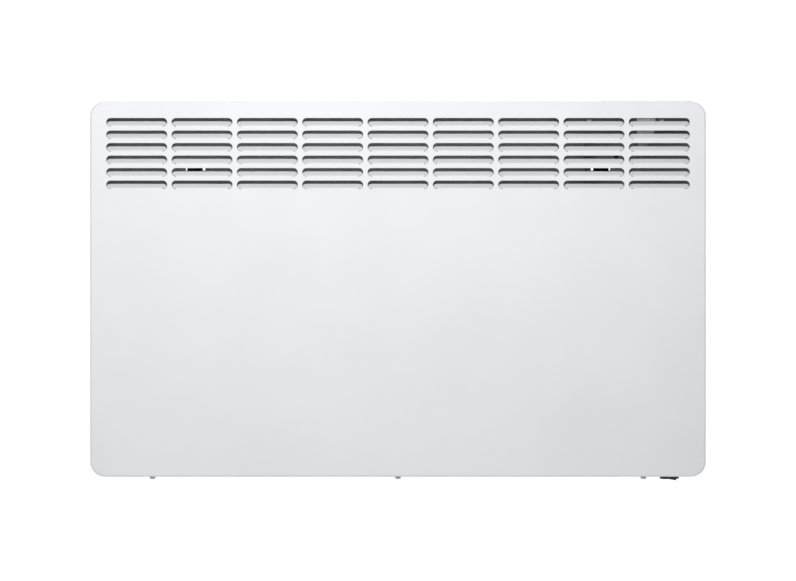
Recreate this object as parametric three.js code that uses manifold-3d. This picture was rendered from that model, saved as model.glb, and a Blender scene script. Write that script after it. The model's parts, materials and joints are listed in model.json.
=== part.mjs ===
// Wall-hung electric convector heater, in millimetres.
// The back of its wall bracket lies in the plane y = 0, the front of the casing faces -Y and +Z is up.
// The origin is the middle of the bracket's back, at half the casing's width and height.
import * as THREE from "three";
import { mergeVertices } from "three/addons/utils/BufferGeometryUtils.js";
import Module from "manifold-3d";

const wasm = await Module();
wasm.setup();

// ---------------------------------------------------------------- driving dimensions

const WIDTH = 738;
const HEIGHT = 450;
const CASING_DEPTH = 78;
const WALL_GAP = 22; // depth of the wall bracket, from the wall to the back of the casing
const CORNER_RADIUS = 18; // of the casing, seen from the front
const SHEET = 0.8; // cover, rear panel, bottom plate and element supports
const LINER = 0.6; // sheet of the air guide, the reflector, the partition and the shelf
const BEND = 2.5; // outer radius of a pressed edge
const FIT = 0.4; // between nested sheets
const TOUCH = 0.3; // between pieces that rest on each other
const OVERCUT = 2; // how far a cutting tool runs past a face

const LOUVRE_ROWS = 6;
const SLOT_LENGTH = 73;
const SLOT_HEIGHT = 10;
const SLOT_GAP_X = 5.3; // sheet left between two slots of a row
const SLOT_GAP_Z = 5;
const LOUVRE_TOP_MARGIN = 20;
const LOUVRE_SIDE_MARGIN = 18; // least sheet left beside the louvres
const TONGUE_LEAN = 52; // degrees that a louvre's tongue is pressed back from the face
const TONGUE_KERF = 0.2; // saw-thin gap round a tongue

const COVER_REVEAL = 8; // strip of the rear panel that the cover leaves showing
const COVER_BOTTOM_FLANGE = 18;
const REAR_FLANGE = 40; // depth of the rear panel's side walls
const REAR_TOP_FLANGE = 14;
const BOTTOM_REAR_LIP = 20; // height of the bottom plate's upturned back edge
const CORNER_RELIEF = 1; // straight stretch of a top or bottom wall kept beside each rounded corner

const RIB_COUNT = 5; // pressed beads that stiffen the rear panel
const RIB_HEIGHT = 2;
const RIB_WIDTH = 12;
const RIB_LENGTH = 135;
const RIB_DROP = 110; // from the casing's top to the beads
const RIB_SIDE_MARGIN = 30; // from an upright's middle to the stretch that the beads share
const SERVICE_HOLE = { insetX: 106.5, drop: 66, radius: 3 }; // from the casing's right side and top

const INTAKE_LENGTH = 66;
const INTAKE_WIDTH = 6;
const INTAKE_PITCH_Y = 10;
const INTAKE_MARGIN = 3; // least sheet in front of the slots

const SCREW_HEAD_RADIUS = 3.6;
const SCREW_HEAD_HEIGHT = 3.1;
const SCREW_SHANK_RADIUS = 1.7;
const SCREW_LENGTH = 9;
const SCREW_INSET_X = 74.7; // from the casing's side to the outer cover screws
const SCREW_SET_BACK = 8.5; // from the casing's front to the cover screws

const HOOK_INSET_X = 125; // from the casing's side to the bracket's uprights
const HOOK_WIDTH = 18.6;
const HOOK_LENGTH = 11; // of a prong, from its root to its tip
const HOOK_SINK = 0.4; // how far a prong's root is sunk into its upright's web
const HOOK_SHEET = 2;
const HOOK_SLOT_WIDTH = 23.2;
const HOOK_SLOT_HEIGHT = 15;
const HOOK_SLOT_SHIFT = 0.65; // the slots sit this much nearer the middle than the prongs
const UPPER_HOOK_DROP = 83; // from the casing's top to the root of the upper prongs
const LOWER_HOOK_RISE = 57; // from the casing's bottom to the root of the lower prongs
const BRACKET_SHEET = 1.5;
const UPRIGHT_WIDTH = 30;
const UPRIGHT_FOOT = 14;
const RIVET_RADIUS = 2;
const SPRING_WIDTH = 12;
const SPRING_SHEET = 0.8;
const RAIL_HEIGHT = 40;
const RAIL_FLANGE = 8;
const RAIL_LAP = 12; // how far the rail's tongues lap over the uprights' feet
const UPRIGHT_TOP_DROP = 60; // from the casing's top to the top of the uprights
const UPRIGHT_BOTTOM_RISE = 35; // from the casing's bottom to the foot of the uprights
const WALL_HOLE_RADIUS = 3.5;
const WALL_HOLE_INSET = 18; // from an upright's end to its wall hole
const WALL_SLOT = { length: 16, height: 7 }; // in the rail
const PRONG_WINDOW = { width: 25, start: 0.5, margin: 1 }; // the opening that a prong was pressed out of
const NOSE_WINDOW = { margin: 1, foot: 13, head: 4.5 }; // the latch's opening, below a prong's root
const SPRING_DROP = 62; // from an upper prong's root down to its latch's rivet
const SPRING_TAIL = 10; // of the latch below its rivet
const SPRING_TAB = { rise: 14, slant: 5, thickness: 1 }; // the latch's bent top, above the upright
const NOSE_REACH = 3.5; // of the latch's nose past the rear panel
const NOSE_TIP = 1.4; // height of the nose at its tip
const NOSE_ROOT = 4.5; // height of the nose at its root
const RIVET_HEAD_RADIUS = 3.8;
const RIVET_HEAD_HEIGHT = 1.6;

const ELEMENT_RISE = 75; // from the casing's bottom to the middle of the heating element
const RUN_SPACING = 28; // between the element's two tube runs
const TUBE_RADIUS = 4.25;
const FIN_HEIGHT = 64;
const FIN_THICKNESS = 0.8;
const FIN_PITCH = 32;
const FIN_END_GAP = 12; // from a support to the nearest fin
const COLLAR_WALL = 1.2;
const BUSH_WALL = 1.6;
const BUSH_FLANGE = 2.5; // how far a bush laps over its support
const BUSH_THICKNESS = 3;
const SUPPORT_INSET_X = 69; // from the casing's left side to the left support
const SUPPORT_TO_PARTITION = 26;
const SUPPORT_FLANGE = 14;
const SUPPORT_MARGIN = 10; // of a support above and below the fins
const TUBE_OVERHANG = 8; // of the tube past the left support, before its bend
const TUBE_TO_PARTITION = 8; // from the tube's ends to the partition
const TERMINAL_RADIUS = 6;
const TERMINAL_LENGTH = 9; // of a terminal's ceramic sleeve
const TERMINAL_PIN = 7; // bare length of its pin
const TERMINAL_REACH = 24; // from the tube's end to the tip of its spade
const PIN_RADIUS = 1.6;
const SPADE = { width: 6.3, thickness: 0.8 }; // a standard push-on tab
const FIN_GAP = 4; // between the fins and the sheets before and behind them
const CHIMNEY_SET_BACK = 11; // from the casing's faces to the guide and the reflector
const CHIMNEY_FOOT = 25; // from the casing's bottom to the foot of the guide and the reflector
const CHIMNEY_HEADROOM = 55; // from the louvres down to the top of the guide and the reflector
const GUIDE_OVERHANG = { left: 30, right: 18 }; // of the guide past the two supports
const GUIDE_LEAN = 9; // of the guide's top edge, back and up
const REFLECTOR_MARGIN = 16; // from the supports to the reflector

const CUTOUT_TO_SUPPORT = 70; // from the right support to the safety cut-out
const CUTOUT_ABOVE_FINS = 16;
const CUTOUT_CAP = { radius: 6.5, height: 5 };
const CUTOUT_BODY = { radius: 8, top: 9 };
const CUTOUT_SPADES = { offset: 4, top: 17 };
const STRAP = { width: 20, upturn: 24, reach: 12 };

const COMPARTMENT_WIDTH = 147; // wiring compartment, from the casing's right side to the partition
const PARTITION_FRONT_GAP = 3; // from the guide's plane to the partition's front edge
const PARTITION_LIFT = 4; // from the bottom plate's upturned edge to the partition
const PARTITION_HEADROOM = 18; // from the control housing down to the partition
const PARTITION_FOOT = { width: 12, rise: 30, drop: 70 };
const TERMINAL_HOLE_GAP = 3; // round a terminal where it passes the partition
const LEAD_HOLE_RADIUS = 6;
const LEAD_HOLE_RISE = 42; // from the fins up to the hole that the leads pass

const CONTROL_WIDTH = 105;
const FASCIA_LAP = 1.25; // how far the control panel laps over its housing, front and back
const FASCIA_LIP = 1; // how far the control panel stands above the casing
const FASCIA_BODY = 4;
const HOUSING_SET_BACK = 12.5; // from the casing's front to the control housing, behind the ribbon
const HOUSING_DROP = 25; // from the casing's top to the foot of the control housing
const HOUSING_WIDTH = 154;
const HOUSING_WALL = 1.8;
const HOUSING_BACK_GAP = 2; // from the rear panel's top wall to the control housing
const HOUSING_OVERHANG = 1.5; // of the control housing past the panel's right end
const SHELF_FLANGE = 16;
const SHELF_CLIP = { width: 5, height: 3.5 };
const SHELF_CLIP_INSETS = [31, 118]; // from the housing's left end
const FASCIA_RIM = 2; // how far the panel's lip laps over the casing round its opening
const FASCIA_RADIUS = 5;
const PANEL_MARGIN = 7.5; // from the control panel's ends to the display and to the last keys
const DISPLAY_TO_KEYS = 7;
const DISPLAY_MARGIN = 13; // from the control panel's front and back to the display
const KEY_WIDTH = 13;
const KEY_DEPTH = 9;
const KEY_GAP = 7;
const KEY_TRAVEL = 0.8;
const KEY_RADIUS = 2;
const KEY_SIDE_GAP = 0.25;
const KEY_COLLAR = 1; // width and thickness of the collar that holds a key in
const WINDOW_RADIUS = 2;
const WINDOW_THICKNESS = 1.2;
const WINDOW_SINK = 0.1; // of the window below the panel's face
const WINDOW_RECESS = 1.5;
const WINDOW_LEDGE = 2; // that the window rests on, and that the display spreads behind
const BOARD = 1.6; // thickness of a circuit board
const BOARD_DROP = 7.4; // from the panel's underside to the control board
const BOARD_MARGIN = { left: 4, side: 1 }; // from the panel's left end and from the housing's walls
const TACT = { side: 6, height: 2.9 }; // a tact switch
const CONNECTOR = { inset: 1, depth: 5, height: 5 };

// The flat cable leaves the control unit face on, turns edge on and runs down to the power board.
// Each stop of its path is its distance to the left of the start, behind it, and below the housing's floor.
const RIBBON_WIDTH = 22;
const RIBBON_THICKNESS = 1;
const RIBBON_SHIFT = 1; // of its middle, to the left of the panel's
const RIBBON_STAND_OFF = 3; // in front of the control housing
const RIBBON_SLOT = { margin: 1, below: 2, height: 4 }; // under the control board
const RIBBON_STOPS = [
  [0, 0, -8],
  [0, 0, -4],
  [0, 0.2, 1],
  [0.3, 6, 12],
  [2.5, 12.5, 27],
  [5.7, 16.5, 42],
  [9.1, 19.5, 57],
  [10.9, 21.5, 72],
];
const RIBBON_END = { ahead: 14, below: 4 }; // of the power board's top edge
const RIBBON_TWIST = { from: 0.06, over: 0.28, degrees: 88 }; // shares of the path's length
const RIBBON_STEPS = 32;

const SWITCH_WIDTH = 22.8;
const SWITCH_DEPTH = 15;
const SWITCH_BEZEL = 2.6;
const SWITCH_INSET_X = 43.5; // from the casing's right side to the switch's middle
const SWITCH_SET_BACK = 29; // from the casing's front to the switch's middle
const SWITCH_BODY_INSET = 0.9; // the bezel laps over the switch's opening by this much each way
const SWITCH_BODY_HEIGHT = 17;
const SWITCH_SPADES = { offset: 6, top: 26 };
const ROCKER_LENGTH = 17.2;
const ROCKER_DEPTH = 10.6;
const ROCKER_GAP = { ends: 0.6, sides: 0.4 };
const ROCKER_POCKET = 8; // depth of the rocker's pocket above the casing's bottom
const ROCKER_THROW = 10; // degrees between on and off
const ROCKER_FACE = 3.1; // from the pivot down to the middle of the rocker's face
const ROCKER_ROUND = 0.7; // rounding of the rocker's ends
const ROCKER_TAIL = { width: 8, height: 4.5 }; // the part above the pivot
const ROCKER_SHOULDER = { inset: 0.2, height: 1 };

const POWER_BOARD_SIZE = { insetX: 84, width: 70, low: 180, high: 290, standOff: 8 };
const SPACER = { radius: 3, inset: 7 };
const CAPACITOR = { radius: 6, height: 16, right: 20, drop: 34 };
const RELAY = { size: [28, 16, 20], left: 12, rise: 223 };
const TERMINAL_BLOCK = { width: 42, depth: 20, height: 18, pitch: 14, insetX: 84, rise: 105 };
const TERMINAL_ENTRY = { wire: 2.6, wireDepth: 6, screw: 2.4, screwDepth: 4 };
const EARTH_SCREW = { head: 4, headHeight: 2.6, shank: 2, length: 8, insetX: 34, rise: 92 };
const PROBE = { radius: 2.5, length: 24, fromPartition: 24, setBack: 34, rise: 12 };
const PROBE_CLIP = { width: 10, length: 12, lip: 1.5, mouth: 3.8 };
const GLAND = { insetX: 66, rise: 42, radius: 8, bore: 4.5, neck: 13 };
const GLAND_FLANGE = { radius: 12, thickness: 4, noseRadius: 9, reach: 12 };
const GLAND_NUT = { radius: 12.5, thickness: 5 };

// ---------------------------------------------------------------- places worked out from them

const RIGHT = WIDTH / 2;
const TOP = HEIGHT / 2;
const BOTTOM = -TOP;
const BACK = -WALL_GAP;
const FRONT = BACK - CASING_DEPTH;
const COVER_BACK = BACK - COVER_REVEAL;
const FLAT_HALF = RIGHT - CORNER_RADIUS; // half the straight stretch of the top and bottom edges
const FLANGE_CUT = FLAT_HALF - CORNER_RELIEF; // half the stretch over which a top or bottom wall is cut away
const REAR_INNER = BACK - SHEET; // the rear panel's inner face
const LOUVRE_PITCH_X = SLOT_LENGTH + SLOT_GAP_X;
const LOUVRE_PITCH_Z = SLOT_HEIGHT + SLOT_GAP_Z;
const LOUVRE_TOP = TOP - LOUVRE_TOP_MARGIN;
const LOUVRE_COLUMNS = Math.floor((WIDTH - 2 * LOUVRE_SIDE_MARGIN + SLOT_GAP_X) / LOUVRE_PITCH_X);
const LOUVRE_BOTTOM = LOUVRE_TOP - LOUVRE_ROWS * LOUVRE_PITCH_Z;
const HOOK_X = RIGHT - HOOK_INSET_X;
const HOOK_ROOTS = { upper: TOP - UPPER_HOOK_DROP, lower: BOTTOM + LOWER_HOOK_RISE };
const ELEMENT_Z = BOTTOM + ELEMENT_RISE;
const GUIDE_Y = FRONT + CHIMNEY_SET_BACK; // outer face of the front air guide
const REFLECTOR_Y = BACK - CHIMNEY_SET_BACK; // inner face of the rear reflector
const CHIMNEY_Y = (GUIDE_Y + REFLECTOR_Y) / 2;
const CHIMNEY_TOP = LOUVRE_BOTTOM - CHIMNEY_HEADROOM;
const PARTITION_X = RIGHT - COMPARTMENT_WIDTH;
const SUPPORT_LEFT = SUPPORT_INSET_X - RIGHT;
const SUPPORT_RIGHT = PARTITION_X - SUPPORT_TO_PARTITION;
const BRACKET_FRONT = BACK + TOUCH; // front face of the uprights
const UPRIGHT_TOP = TOP - UPRIGHT_TOP_DROP;
const UPRIGHT_BOTTOM = BOTTOM + UPRIGHT_BOTTOM_RISE;
const RIVET_X = HOOK_X - UPRIGHT_WIDTH / 2 - UPRIGHT_FOOT / 2;
const SPRING_RIVET_Z = HOOK_ROOTS.upper - SPRING_DROP;
const HOUSING_FRONT = FRONT + HOUSING_SET_BACK;
const HOUSING_BACK = BACK - REAR_TOP_FLANGE - HOUSING_BACK_GAP;
const FASCIA_X = FLAT_HALF - CONTROL_WIDTH / 2;
const FASCIA_Y = (HOUSING_FRONT + HOUSING_BACK) / 2;
const FASCIA_DEPTH = HOUSING_BACK - HOUSING_FRONT + 2 * FASCIA_LAP;
const FASCIA_FACE = TOP + FASCIA_LIP;
const FASCIA_UNDERSIDE = TOP - FASCIA_BODY;

const COVER_SCREW_Y = FRONT + SCREW_SET_BACK;
const COVER_SCREW_XS = { left: SCREW_INSET_X - RIGHT, centre: 0, right: RIGHT - SCREW_INSET_X };
const REAR_INSET = SHEET + FIT; // from the casing's outline to the rear panel's
const AGAINST_REAR = REAR_INNER - TOUCH; // plane of the pieces fixed to the rear panel
const RIB_TOP = TOP - RIB_DROP;
const RIB_PITCH = (2 * HOOK_X - 2 * RIB_SIDE_MARGIN) / RIB_COUNT;
const SERVICE_X = RIGHT - SERVICE_HOLE.insetX;
const SERVICE_Z = TOP - SERVICE_HOLE.drop;
const PLATE_HALF = FLANGE_CUT - FIT;
const LIP_UNDERSIDE = BOTTOM + SHEET + TOUCH;
const BRACKET_SIDES = { left: -1, right: 1 };

const FINS_TOP = ELEMENT_Z + FIN_HEIGHT / 2;
const FINS_FOOT = ELEMENT_Z - FIN_HEIGHT / 2;
const FIN_FIRST = SUPPORT_LEFT + FIN_END_GAP;
const FIN_COUNT = 1 + Math.floor((SUPPORT_RIGHT - FIN_END_GAP - FIN_FIRST) / FIN_PITCH);
const FIN_DEPTH = REFLECTOR_Y - GUIDE_Y - LINER - 2 * FIN_GAP;
const RUN_ZS = [ELEMENT_Z - RUN_SPACING / 2, ELEMENT_Z + RUN_SPACING / 2];
const BUSH_NECK = TUBE_RADIUS + TOUCH + BUSH_WALL; // outer radius where a bush passes its support
const TUBE_END = PARTITION_X - TUBE_TO_PARTITION;
const LEAD_HOLE_Z = FINS_TOP + LEAD_HOLE_RISE;
const CUTOUT_X = SUPPORT_RIGHT - CUTOUT_TO_SUPPORT;
const CUTOUT_Z = FINS_TOP + CUTOUT_ABOVE_FINS;

const HOUSING_RIGHT = FLAT_HALF + HOUSING_OVERHANG;
const HOUSING_LEFT = HOUSING_RIGHT - HOUSING_WIDTH;
const HOUSING_TOP = FASCIA_UNDERSIDE - FIT;
const HOUSING_FLOOR = TOP - HOUSING_DROP;
const BOARD_TOP = FASCIA_UNDERSIDE - BOARD_DROP;
const BOARD_UNDERSIDE = BOARD_TOP - BOARD;
const TACT_TOP = BOARD_TOP + TACT.height;
const RIBBON_X = FASCIA_X - RIBBON_SHIFT;
const KEYS_WIDTH = 2 * KEY_WIDTH + KEY_GAP;
const DISPLAY_WIDTH = CONTROL_WIDTH - 2 * PANEL_MARGIN - DISPLAY_TO_KEYS - KEYS_WIDTH;
const DISPLAY_DEPTH = FASCIA_DEPTH - 2 * DISPLAY_MARGIN;
const DISPLAY_X = FASCIA_X - CONTROL_WIDTH / 2 + PANEL_MARGIN + DISPLAY_WIDTH / 2;
const KEY_XS = [KEYS_WIDTH - KEY_WIDTH / 2, KEY_WIDTH / 2].map(
  (inset) => FASCIA_X + CONTROL_WIDTH / 2 - PANEL_MARGIN - inset,
);
const KEY_YS = [-0.5, 0.5].map((side) => FASCIA_Y + side * (KEY_DEPTH + KEY_GAP));
const KEYS = {
  key_plus: [KEY_XS[0], KEY_YS[0]],
  key_minus: [KEY_XS[0], KEY_YS[1]],
  key_menu: [KEY_XS[1], KEY_YS[0]],
  key_confirm: [KEY_XS[1], KEY_YS[1]],
};

const SWITCH_X = RIGHT - SWITCH_INSET_X;
const SWITCH_Y = FRONT + SWITCH_SET_BACK;
const BEZEL_FACE = BOTTOM - SWITCH_BEZEL;
const ROCKER_HALF = ROCKER_LENGTH / 2;
const GLAND_X = RIGHT - GLAND.insetX;
const GLAND_Z = BOTTOM + GLAND.rise;
const POWER_BOARD = {
  x: RIGHT - POWER_BOARD_SIZE.insetX,
  bottom: BOTTOM + POWER_BOARD_SIZE.low,
  top: BOTTOM + POWER_BOARD_SIZE.high,
  back: REAR_INNER - POWER_BOARD_SIZE.standOff,
  front: REAR_INNER - POWER_BOARD_SIZE.standOff - BOARD,
};
const TERMINAL_X = RIGHT - TERMINAL_BLOCK.insetX;
const TERMINAL_Z = BOTTOM + TERMINAL_BLOCK.rise;
const EARTH_STUD = [RIGHT - EARTH_SCREW.insetX, AGAINST_REAR, BOTTOM + EARTH_SCREW.rise];
const SENSOR = [PARTITION_X + PROBE.fromPartition, FRONT + PROBE.setBack, BOTTOM + PROBE.rise];

// ---------------------------------------------------------------- solids and geometry helpers

const WELD = 1e-4;

function toSolid(geometry) {
  const bare = geometry.index ? geometry.toNonIndexed() : geometry.clone();
  bare.deleteAttribute("normal");
  bare.deleteAttribute("uv");
  const merged = mergeVertices(bare, WELD);
  const vertProperties = new Float32Array(merged.attributes.position.array);
  const triVerts = new Uint32Array(merged.index.array);
  return new wasm.Manifold(new wasm.Mesh({ numProp: 3, vertProperties, triVerts }));
}

function toGeometry(solid) {
  const mesh = solid.getMesh();
  const geometry = new THREE.BufferGeometry();
  geometry.setAttribute("position", new THREE.BufferAttribute(mesh.vertProperties, mesh.numProp));
  geometry.setIndex(new THREE.BufferAttribute(mesh.triVerts, 1));
  const flat = geometry.toNonIndexed();
  flat.computeVertexNormals();
  return flat;
}

function join(...geometries) {
  return toGeometry(geometries.map(toSolid).reduce((sum, next) => sum.add(next)));
}

function cut(body, ...tools) {
  return toGeometry(tools.map(toSolid).reduce((rest, tool) => rest.subtract(tool), toSolid(body)));
}

// A box between two values on each axis.
function block(x0, x1, y0, y1, z0, z1) {
  const geometry = new THREE.BoxGeometry(x1 - x0, y1 - y0, z1 - z0);
  return geometry.translate((x0 + x1) / 2, (y0 + y1) / 2, (z0 + z1) / 2);
}

// A shape drawn in X and Y, carried along Z.
function alongZ(shape, z0, z1, curveSegments = 6) {
  const settings = { depth: z1 - z0, bevelEnabled: false, curveSegments };
  return new THREE.ExtrudeGeometry(shape, settings).translate(0, 0, z0);
}

// A shape drawn in X and Z, carried along Y.
function alongY(shape, y0, y1, curveSegments = 6) {
  return alongZ(shape, -y1, -y0, curveSegments).rotateX(Math.PI / 2);
}

// A shape drawn in Y and Z, carried along X.
function alongX(shape, x0, x1, curveSegments = 6) {
  const turn = new THREE.Matrix4().makeBasis(
    new THREE.Vector3(0, 1, 0),
    new THREE.Vector3(0, 0, 1),
    new THREE.Vector3(1, 0, 0),
  );
  return alongZ(shape, x0, x1, curveSegments).applyMatrix4(turn);
}

function polygon(...corners) {
  return new THREE.Shape(corners.map(([x, y]) => new THREE.Vector2(x, y)));
}

function roundedRect(width, height, radius) {
  const [x, y] = [width / 2 - radius, height / 2 - radius];
  const shape = new THREE.Shape();
  shape.absarc(x, -y, radius, -Math.PI / 2, 0);
  shape.absarc(x, y, radius, 0, Math.PI / 2);
  shape.absarc(-x, y, radius, Math.PI / 2, Math.PI);
  shape.absarc(-x, -y, radius, Math.PI, 1.5 * Math.PI);
  return shape;
}

function stadium(length, height) {
  const [x, radius] = [(length - height) / 2, height / 2];
  const shape = new THREE.Shape();
  shape.absarc(x, 0, radius, -Math.PI / 2, Math.PI / 2);
  shape.absarc(-x, 0, radius, Math.PI / 2, 1.5 * Math.PI);
  return shape;
}

function circle(radius) {
  return new THREE.Shape().absarc(0, 0, radius, 0, 2 * Math.PI);
}

function rodX(radius, x0, x1, y, z, sides = 12) {
  return alongX(circle(radius), x0, x1, sides / 2).translate(0, y, z);
}

function rodY(radius, y0, y1, x, z, sides = 12) {
  return alongY(circle(radius), y0, y1, sides / 2).translate(x, 0, z);
}

function rodZ(radius, z0, z1, x, y, sides = 12) {
  return alongZ(circle(radius), z0, z1, sides / 2).translate(x, y, 0);
}

// A tube along a smooth curve through the points.
function wireAlong(points, radius, steps = 10) {
  const extrudePath = new THREE.CatmullRomCurve3(points.map((p) => new THREE.Vector3(...p)));
  return new THREE.ExtrudeGeometry(circle(radius), { steps, extrudePath, curveSegments: 3 });
}

// A rounded-rectangle block whose edge at the low-Y end is rolled over by the bend radius.
function pressedBlock(width, height, radius, bend, y0, y1) {
  const settings = {
    depth: y1 - y0,
    curveSegments: 6,
    bevelSegments: 2,
    bevelThickness: bend,
    bevelSize: bend,
    bevelOffset: -bend,
  };
  const long = new THREE.ExtrudeGeometry(roundedRect(width, height, radius), settings);
  long.rotateX(Math.PI / 2).translate(0, y1 + bend, 0);
  return cut(long, block(-width, width, y1, y1 + 3 * bend, -height, height));
}

// ---------------------------------------------------------------- finishes

function finish(color, roughness, metalness) {
  return new THREE.MeshStandardMaterial({ color, roughness, metalness });
}

const FINISHES = {
  whitePaint: finish(0xf2f2f4, 0.45, 0),
  galvanised: finish(0xa9adb0, 0.45, 0.9),
  blackPaint: finish(0x232325, 0.5, 0),
  springSteel: finish(0x5d6064, 0.35, 0.9),
  zincPlated: finish(0x9a9da2, 0.3, 0.95),
  stainless: finish(0x8d8a84, 0.35, 0.9),
  aluminium: finish(0xc3c6c9, 0.35, 0.9),
  whitePlastic: finish(0xeeeeef, 0.4, 0),
  blackPlastic: finish(0x1c1c1e, 0.5, 0),
  smokedWindow: finish(0x202428, 0.08, 0),
  displayGlass: finish(0x8fa39a, 0.15, 0),
  circuitBoard: finish(0x1f5a36, 0.5, 0),
  ceramic: finish(0xe6e0d2, 0.6, 0),
  ribbonGrey: finish(0x9b9da0, 0.5, 0),
  wireBrown: finish(0x6b3e1f, 0.5, 0),
  wireBlue: finish(0x1f4fa0, 0.5, 0),
  wireGreen: finish(0x5f9a2b, 0.5, 0),
  wireWhite: finish(0xd8d6cf, 0.6, 0),
};

const heater = new THREE.Group();

function place(parent, name, geometry, material, position = [0, 0, 0]) {
  const mesh = new THREE.Mesh(geometry, material);
  mesh.name = name;
  mesh.position.set(...position);
  parent.add(mesh);
  return mesh;
}

// ---------------------------------------------------------------- front cover

function louvreColumnX(column) {
  return (column - (LOUVRE_COLUMNS - 1) / 2) * LOUVRE_PITCH_X;
}

function louvreMiddles() {
  const middles = [];
  for (let row = 0; row < LOUVRE_ROWS; row++) {
    const z = LOUVRE_TOP - SLOT_HEIGHT / 2 - row * LOUVRE_PITCH_Z;
    for (let column = 0; column < LOUVRE_COLUMNS; column++) {
      middles.push([louvreColumnX(column), z]);
    }
  }
  return middles;
}

// The tongue of one louvre: it stays attached along the slot's bottom edge and leans back into the casing.
function louvreTongue() {
  const outline = stadium(SLOT_LENGTH - 2 * TONGUE_KERF, SLOT_HEIGHT - 2 * TONGUE_KERF);
  const plate = alongY(outline, 0, SHEET, 1).translate(0, 0, SLOT_HEIGHT / 2 - TONGUE_KERF);
  plate.rotateX(-THREE.MathUtils.degToRad(TONGUE_LEAN));
  return plate.translate(0, FRONT + 0.1, -SLOT_HEIGHT / 2 - 0.1);
}

function coverGeometry() {
  const shell = cut(
    pressedBlock(WIDTH, HEIGHT, CORNER_RADIUS, BEND, FRONT, COVER_BACK),
    pressedBlock(
      WIDTH - 2 * SHEET,
      HEIGHT - 2 * SHEET,
      CORNER_RADIUS - SHEET,
      BEND - SHEET,
      FRONT + SHEET,
      COVER_BACK + OVERCUT,
    ),
    block(
      -FLANGE_CUT,
      FLANGE_CUT,
      FRONT + COVER_BOTTOM_FLANGE,
      COVER_BACK + OVERCUT,
      BOTTOM - OVERCUT,
      BOTTOM + SHEET + OVERCUT,
    ),
    fasciaBody(FIT, TOP - SHEET - OVERCUT, TOP + OVERCUT),
    ...Object.values(COVER_SCREW_XS).map((x) =>
      rodZ(SCREW_SHANK_RADIUS + TOUCH, BOTTOM - OVERCUT, BOTTOM + OVERCUT, x, COVER_SCREW_Y),
    ),
  );
  const slot = alongY(stadium(SLOT_LENGTH, SLOT_HEIGHT), FRONT - OVERCUT, FRONT + SHEET + OVERCUT, 2);
  const tongue = louvreTongue();
  const slots = louvreMiddles().map(([x, z]) => slot.clone().translate(x, 0, z));
  const tongues = louvreMiddles().map(([x, z]) => tongue.clone().translate(x, 0, z));
  return join(cut(shell, ...slots), ...tongues);
}

// ---------------------------------------------------------------- rear panel and bottom plate

// A prong leaves its upright at 45 degrees and the top edge of the panel's slot hangs on it.
function hookSlotTop(root) {
  const prongRise = BRACKET_SHEET / 2 + TOUCH + SHEET; // of the prong's middle, up to the panel's inner face
  return root + prongRise + (HOOK_SHEET / 2 + TOUCH) * Math.SQRT2;
}

function hookSlots() {
  return [HOOK_SLOT_SHIFT - HOOK_X, HOOK_X - HOOK_SLOT_SHIFT].flatMap((x) =>
    Object.values(HOOK_ROOTS).map((root) =>
      block(
        x - HOOK_SLOT_WIDTH / 2,
        x + HOOK_SLOT_WIDTH / 2,
        REAR_INNER - OVERCUT,
        BACK + OVERCUT,
        hookSlotTop(root) - HOOK_SLOT_HEIGHT,
        hookSlotTop(root),
      ),
    ),
  );
}

function ribSolid(inset, y0, y1, x) {
  return alongY(stadium(RIB_LENGTH - 2 * inset, RIB_WIDTH - 2 * inset), y0, y1, 3)
    .rotateY(Math.PI / 2)
    .translate(x, 0, RIB_TOP - RIB_LENGTH / 2);
}

function rearPanelGeometry() {
  const [width, height] = [WIDTH - 2 * REAR_INSET, HEIGHT - 2 * REAR_INSET];
  const radius = CORNER_RADIUS - REAR_INSET;
  const outer = pressedBlock(width, height, radius, BEND, -BACK, -BACK + REAR_FLANGE);
  const inner = pressedBlock(
    width - 2 * SHEET,
    height - 2 * SHEET,
    radius - SHEET,
    BEND - SHEET,
    -BACK + SHEET,
    -BACK + REAR_FLANGE + OVERCUT,
  );
  const tray = cut(
    outer.rotateZ(Math.PI),
    inner.rotateZ(Math.PI),
    block(-FLANGE_CUT, FLANGE_CUT, FRONT, BACK - REAR_TOP_FLANGE, TOP - 3 * BEND, TOP),
    block(-FLANGE_CUT, FLANGE_CUT, FRONT, REAR_INNER - TOUCH, BOTTOM, BOTTOM + 2 * BEND),
  );
  const ribXs = Array.from({ length: RIB_COUNT }, (_, i) => (i - (RIB_COUNT - 1) / 2) * RIB_PITCH);
  const beads = ribXs.map((x) => ribSolid(0, BACK - SHEET / 2, BACK + RIB_HEIGHT, x));
  const hollows = ribXs.map((x) => ribSolid(SHEET, REAR_INNER - OVERCUT, BACK + RIB_HEIGHT - SHEET, x));
  const [inside, outside] = [REAR_INNER - OVERCUT, BACK + OVERCUT];
  return cut(
    join(tray, ...beads),
    ...hollows,
    ...hookSlots(),
    rodY(GLAND.radius + TOUCH, inside, outside, GLAND_X, GLAND_Z, 12),
    rodY(SERVICE_HOLE.radius, inside, outside, SERVICE_X, SERVICE_Z, 10),
    rodY(EARTH_SCREW.shank + TOUCH, inside, outside, EARTH_STUD[0], EARTH_STUD[2], 8),
  );
}

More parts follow.
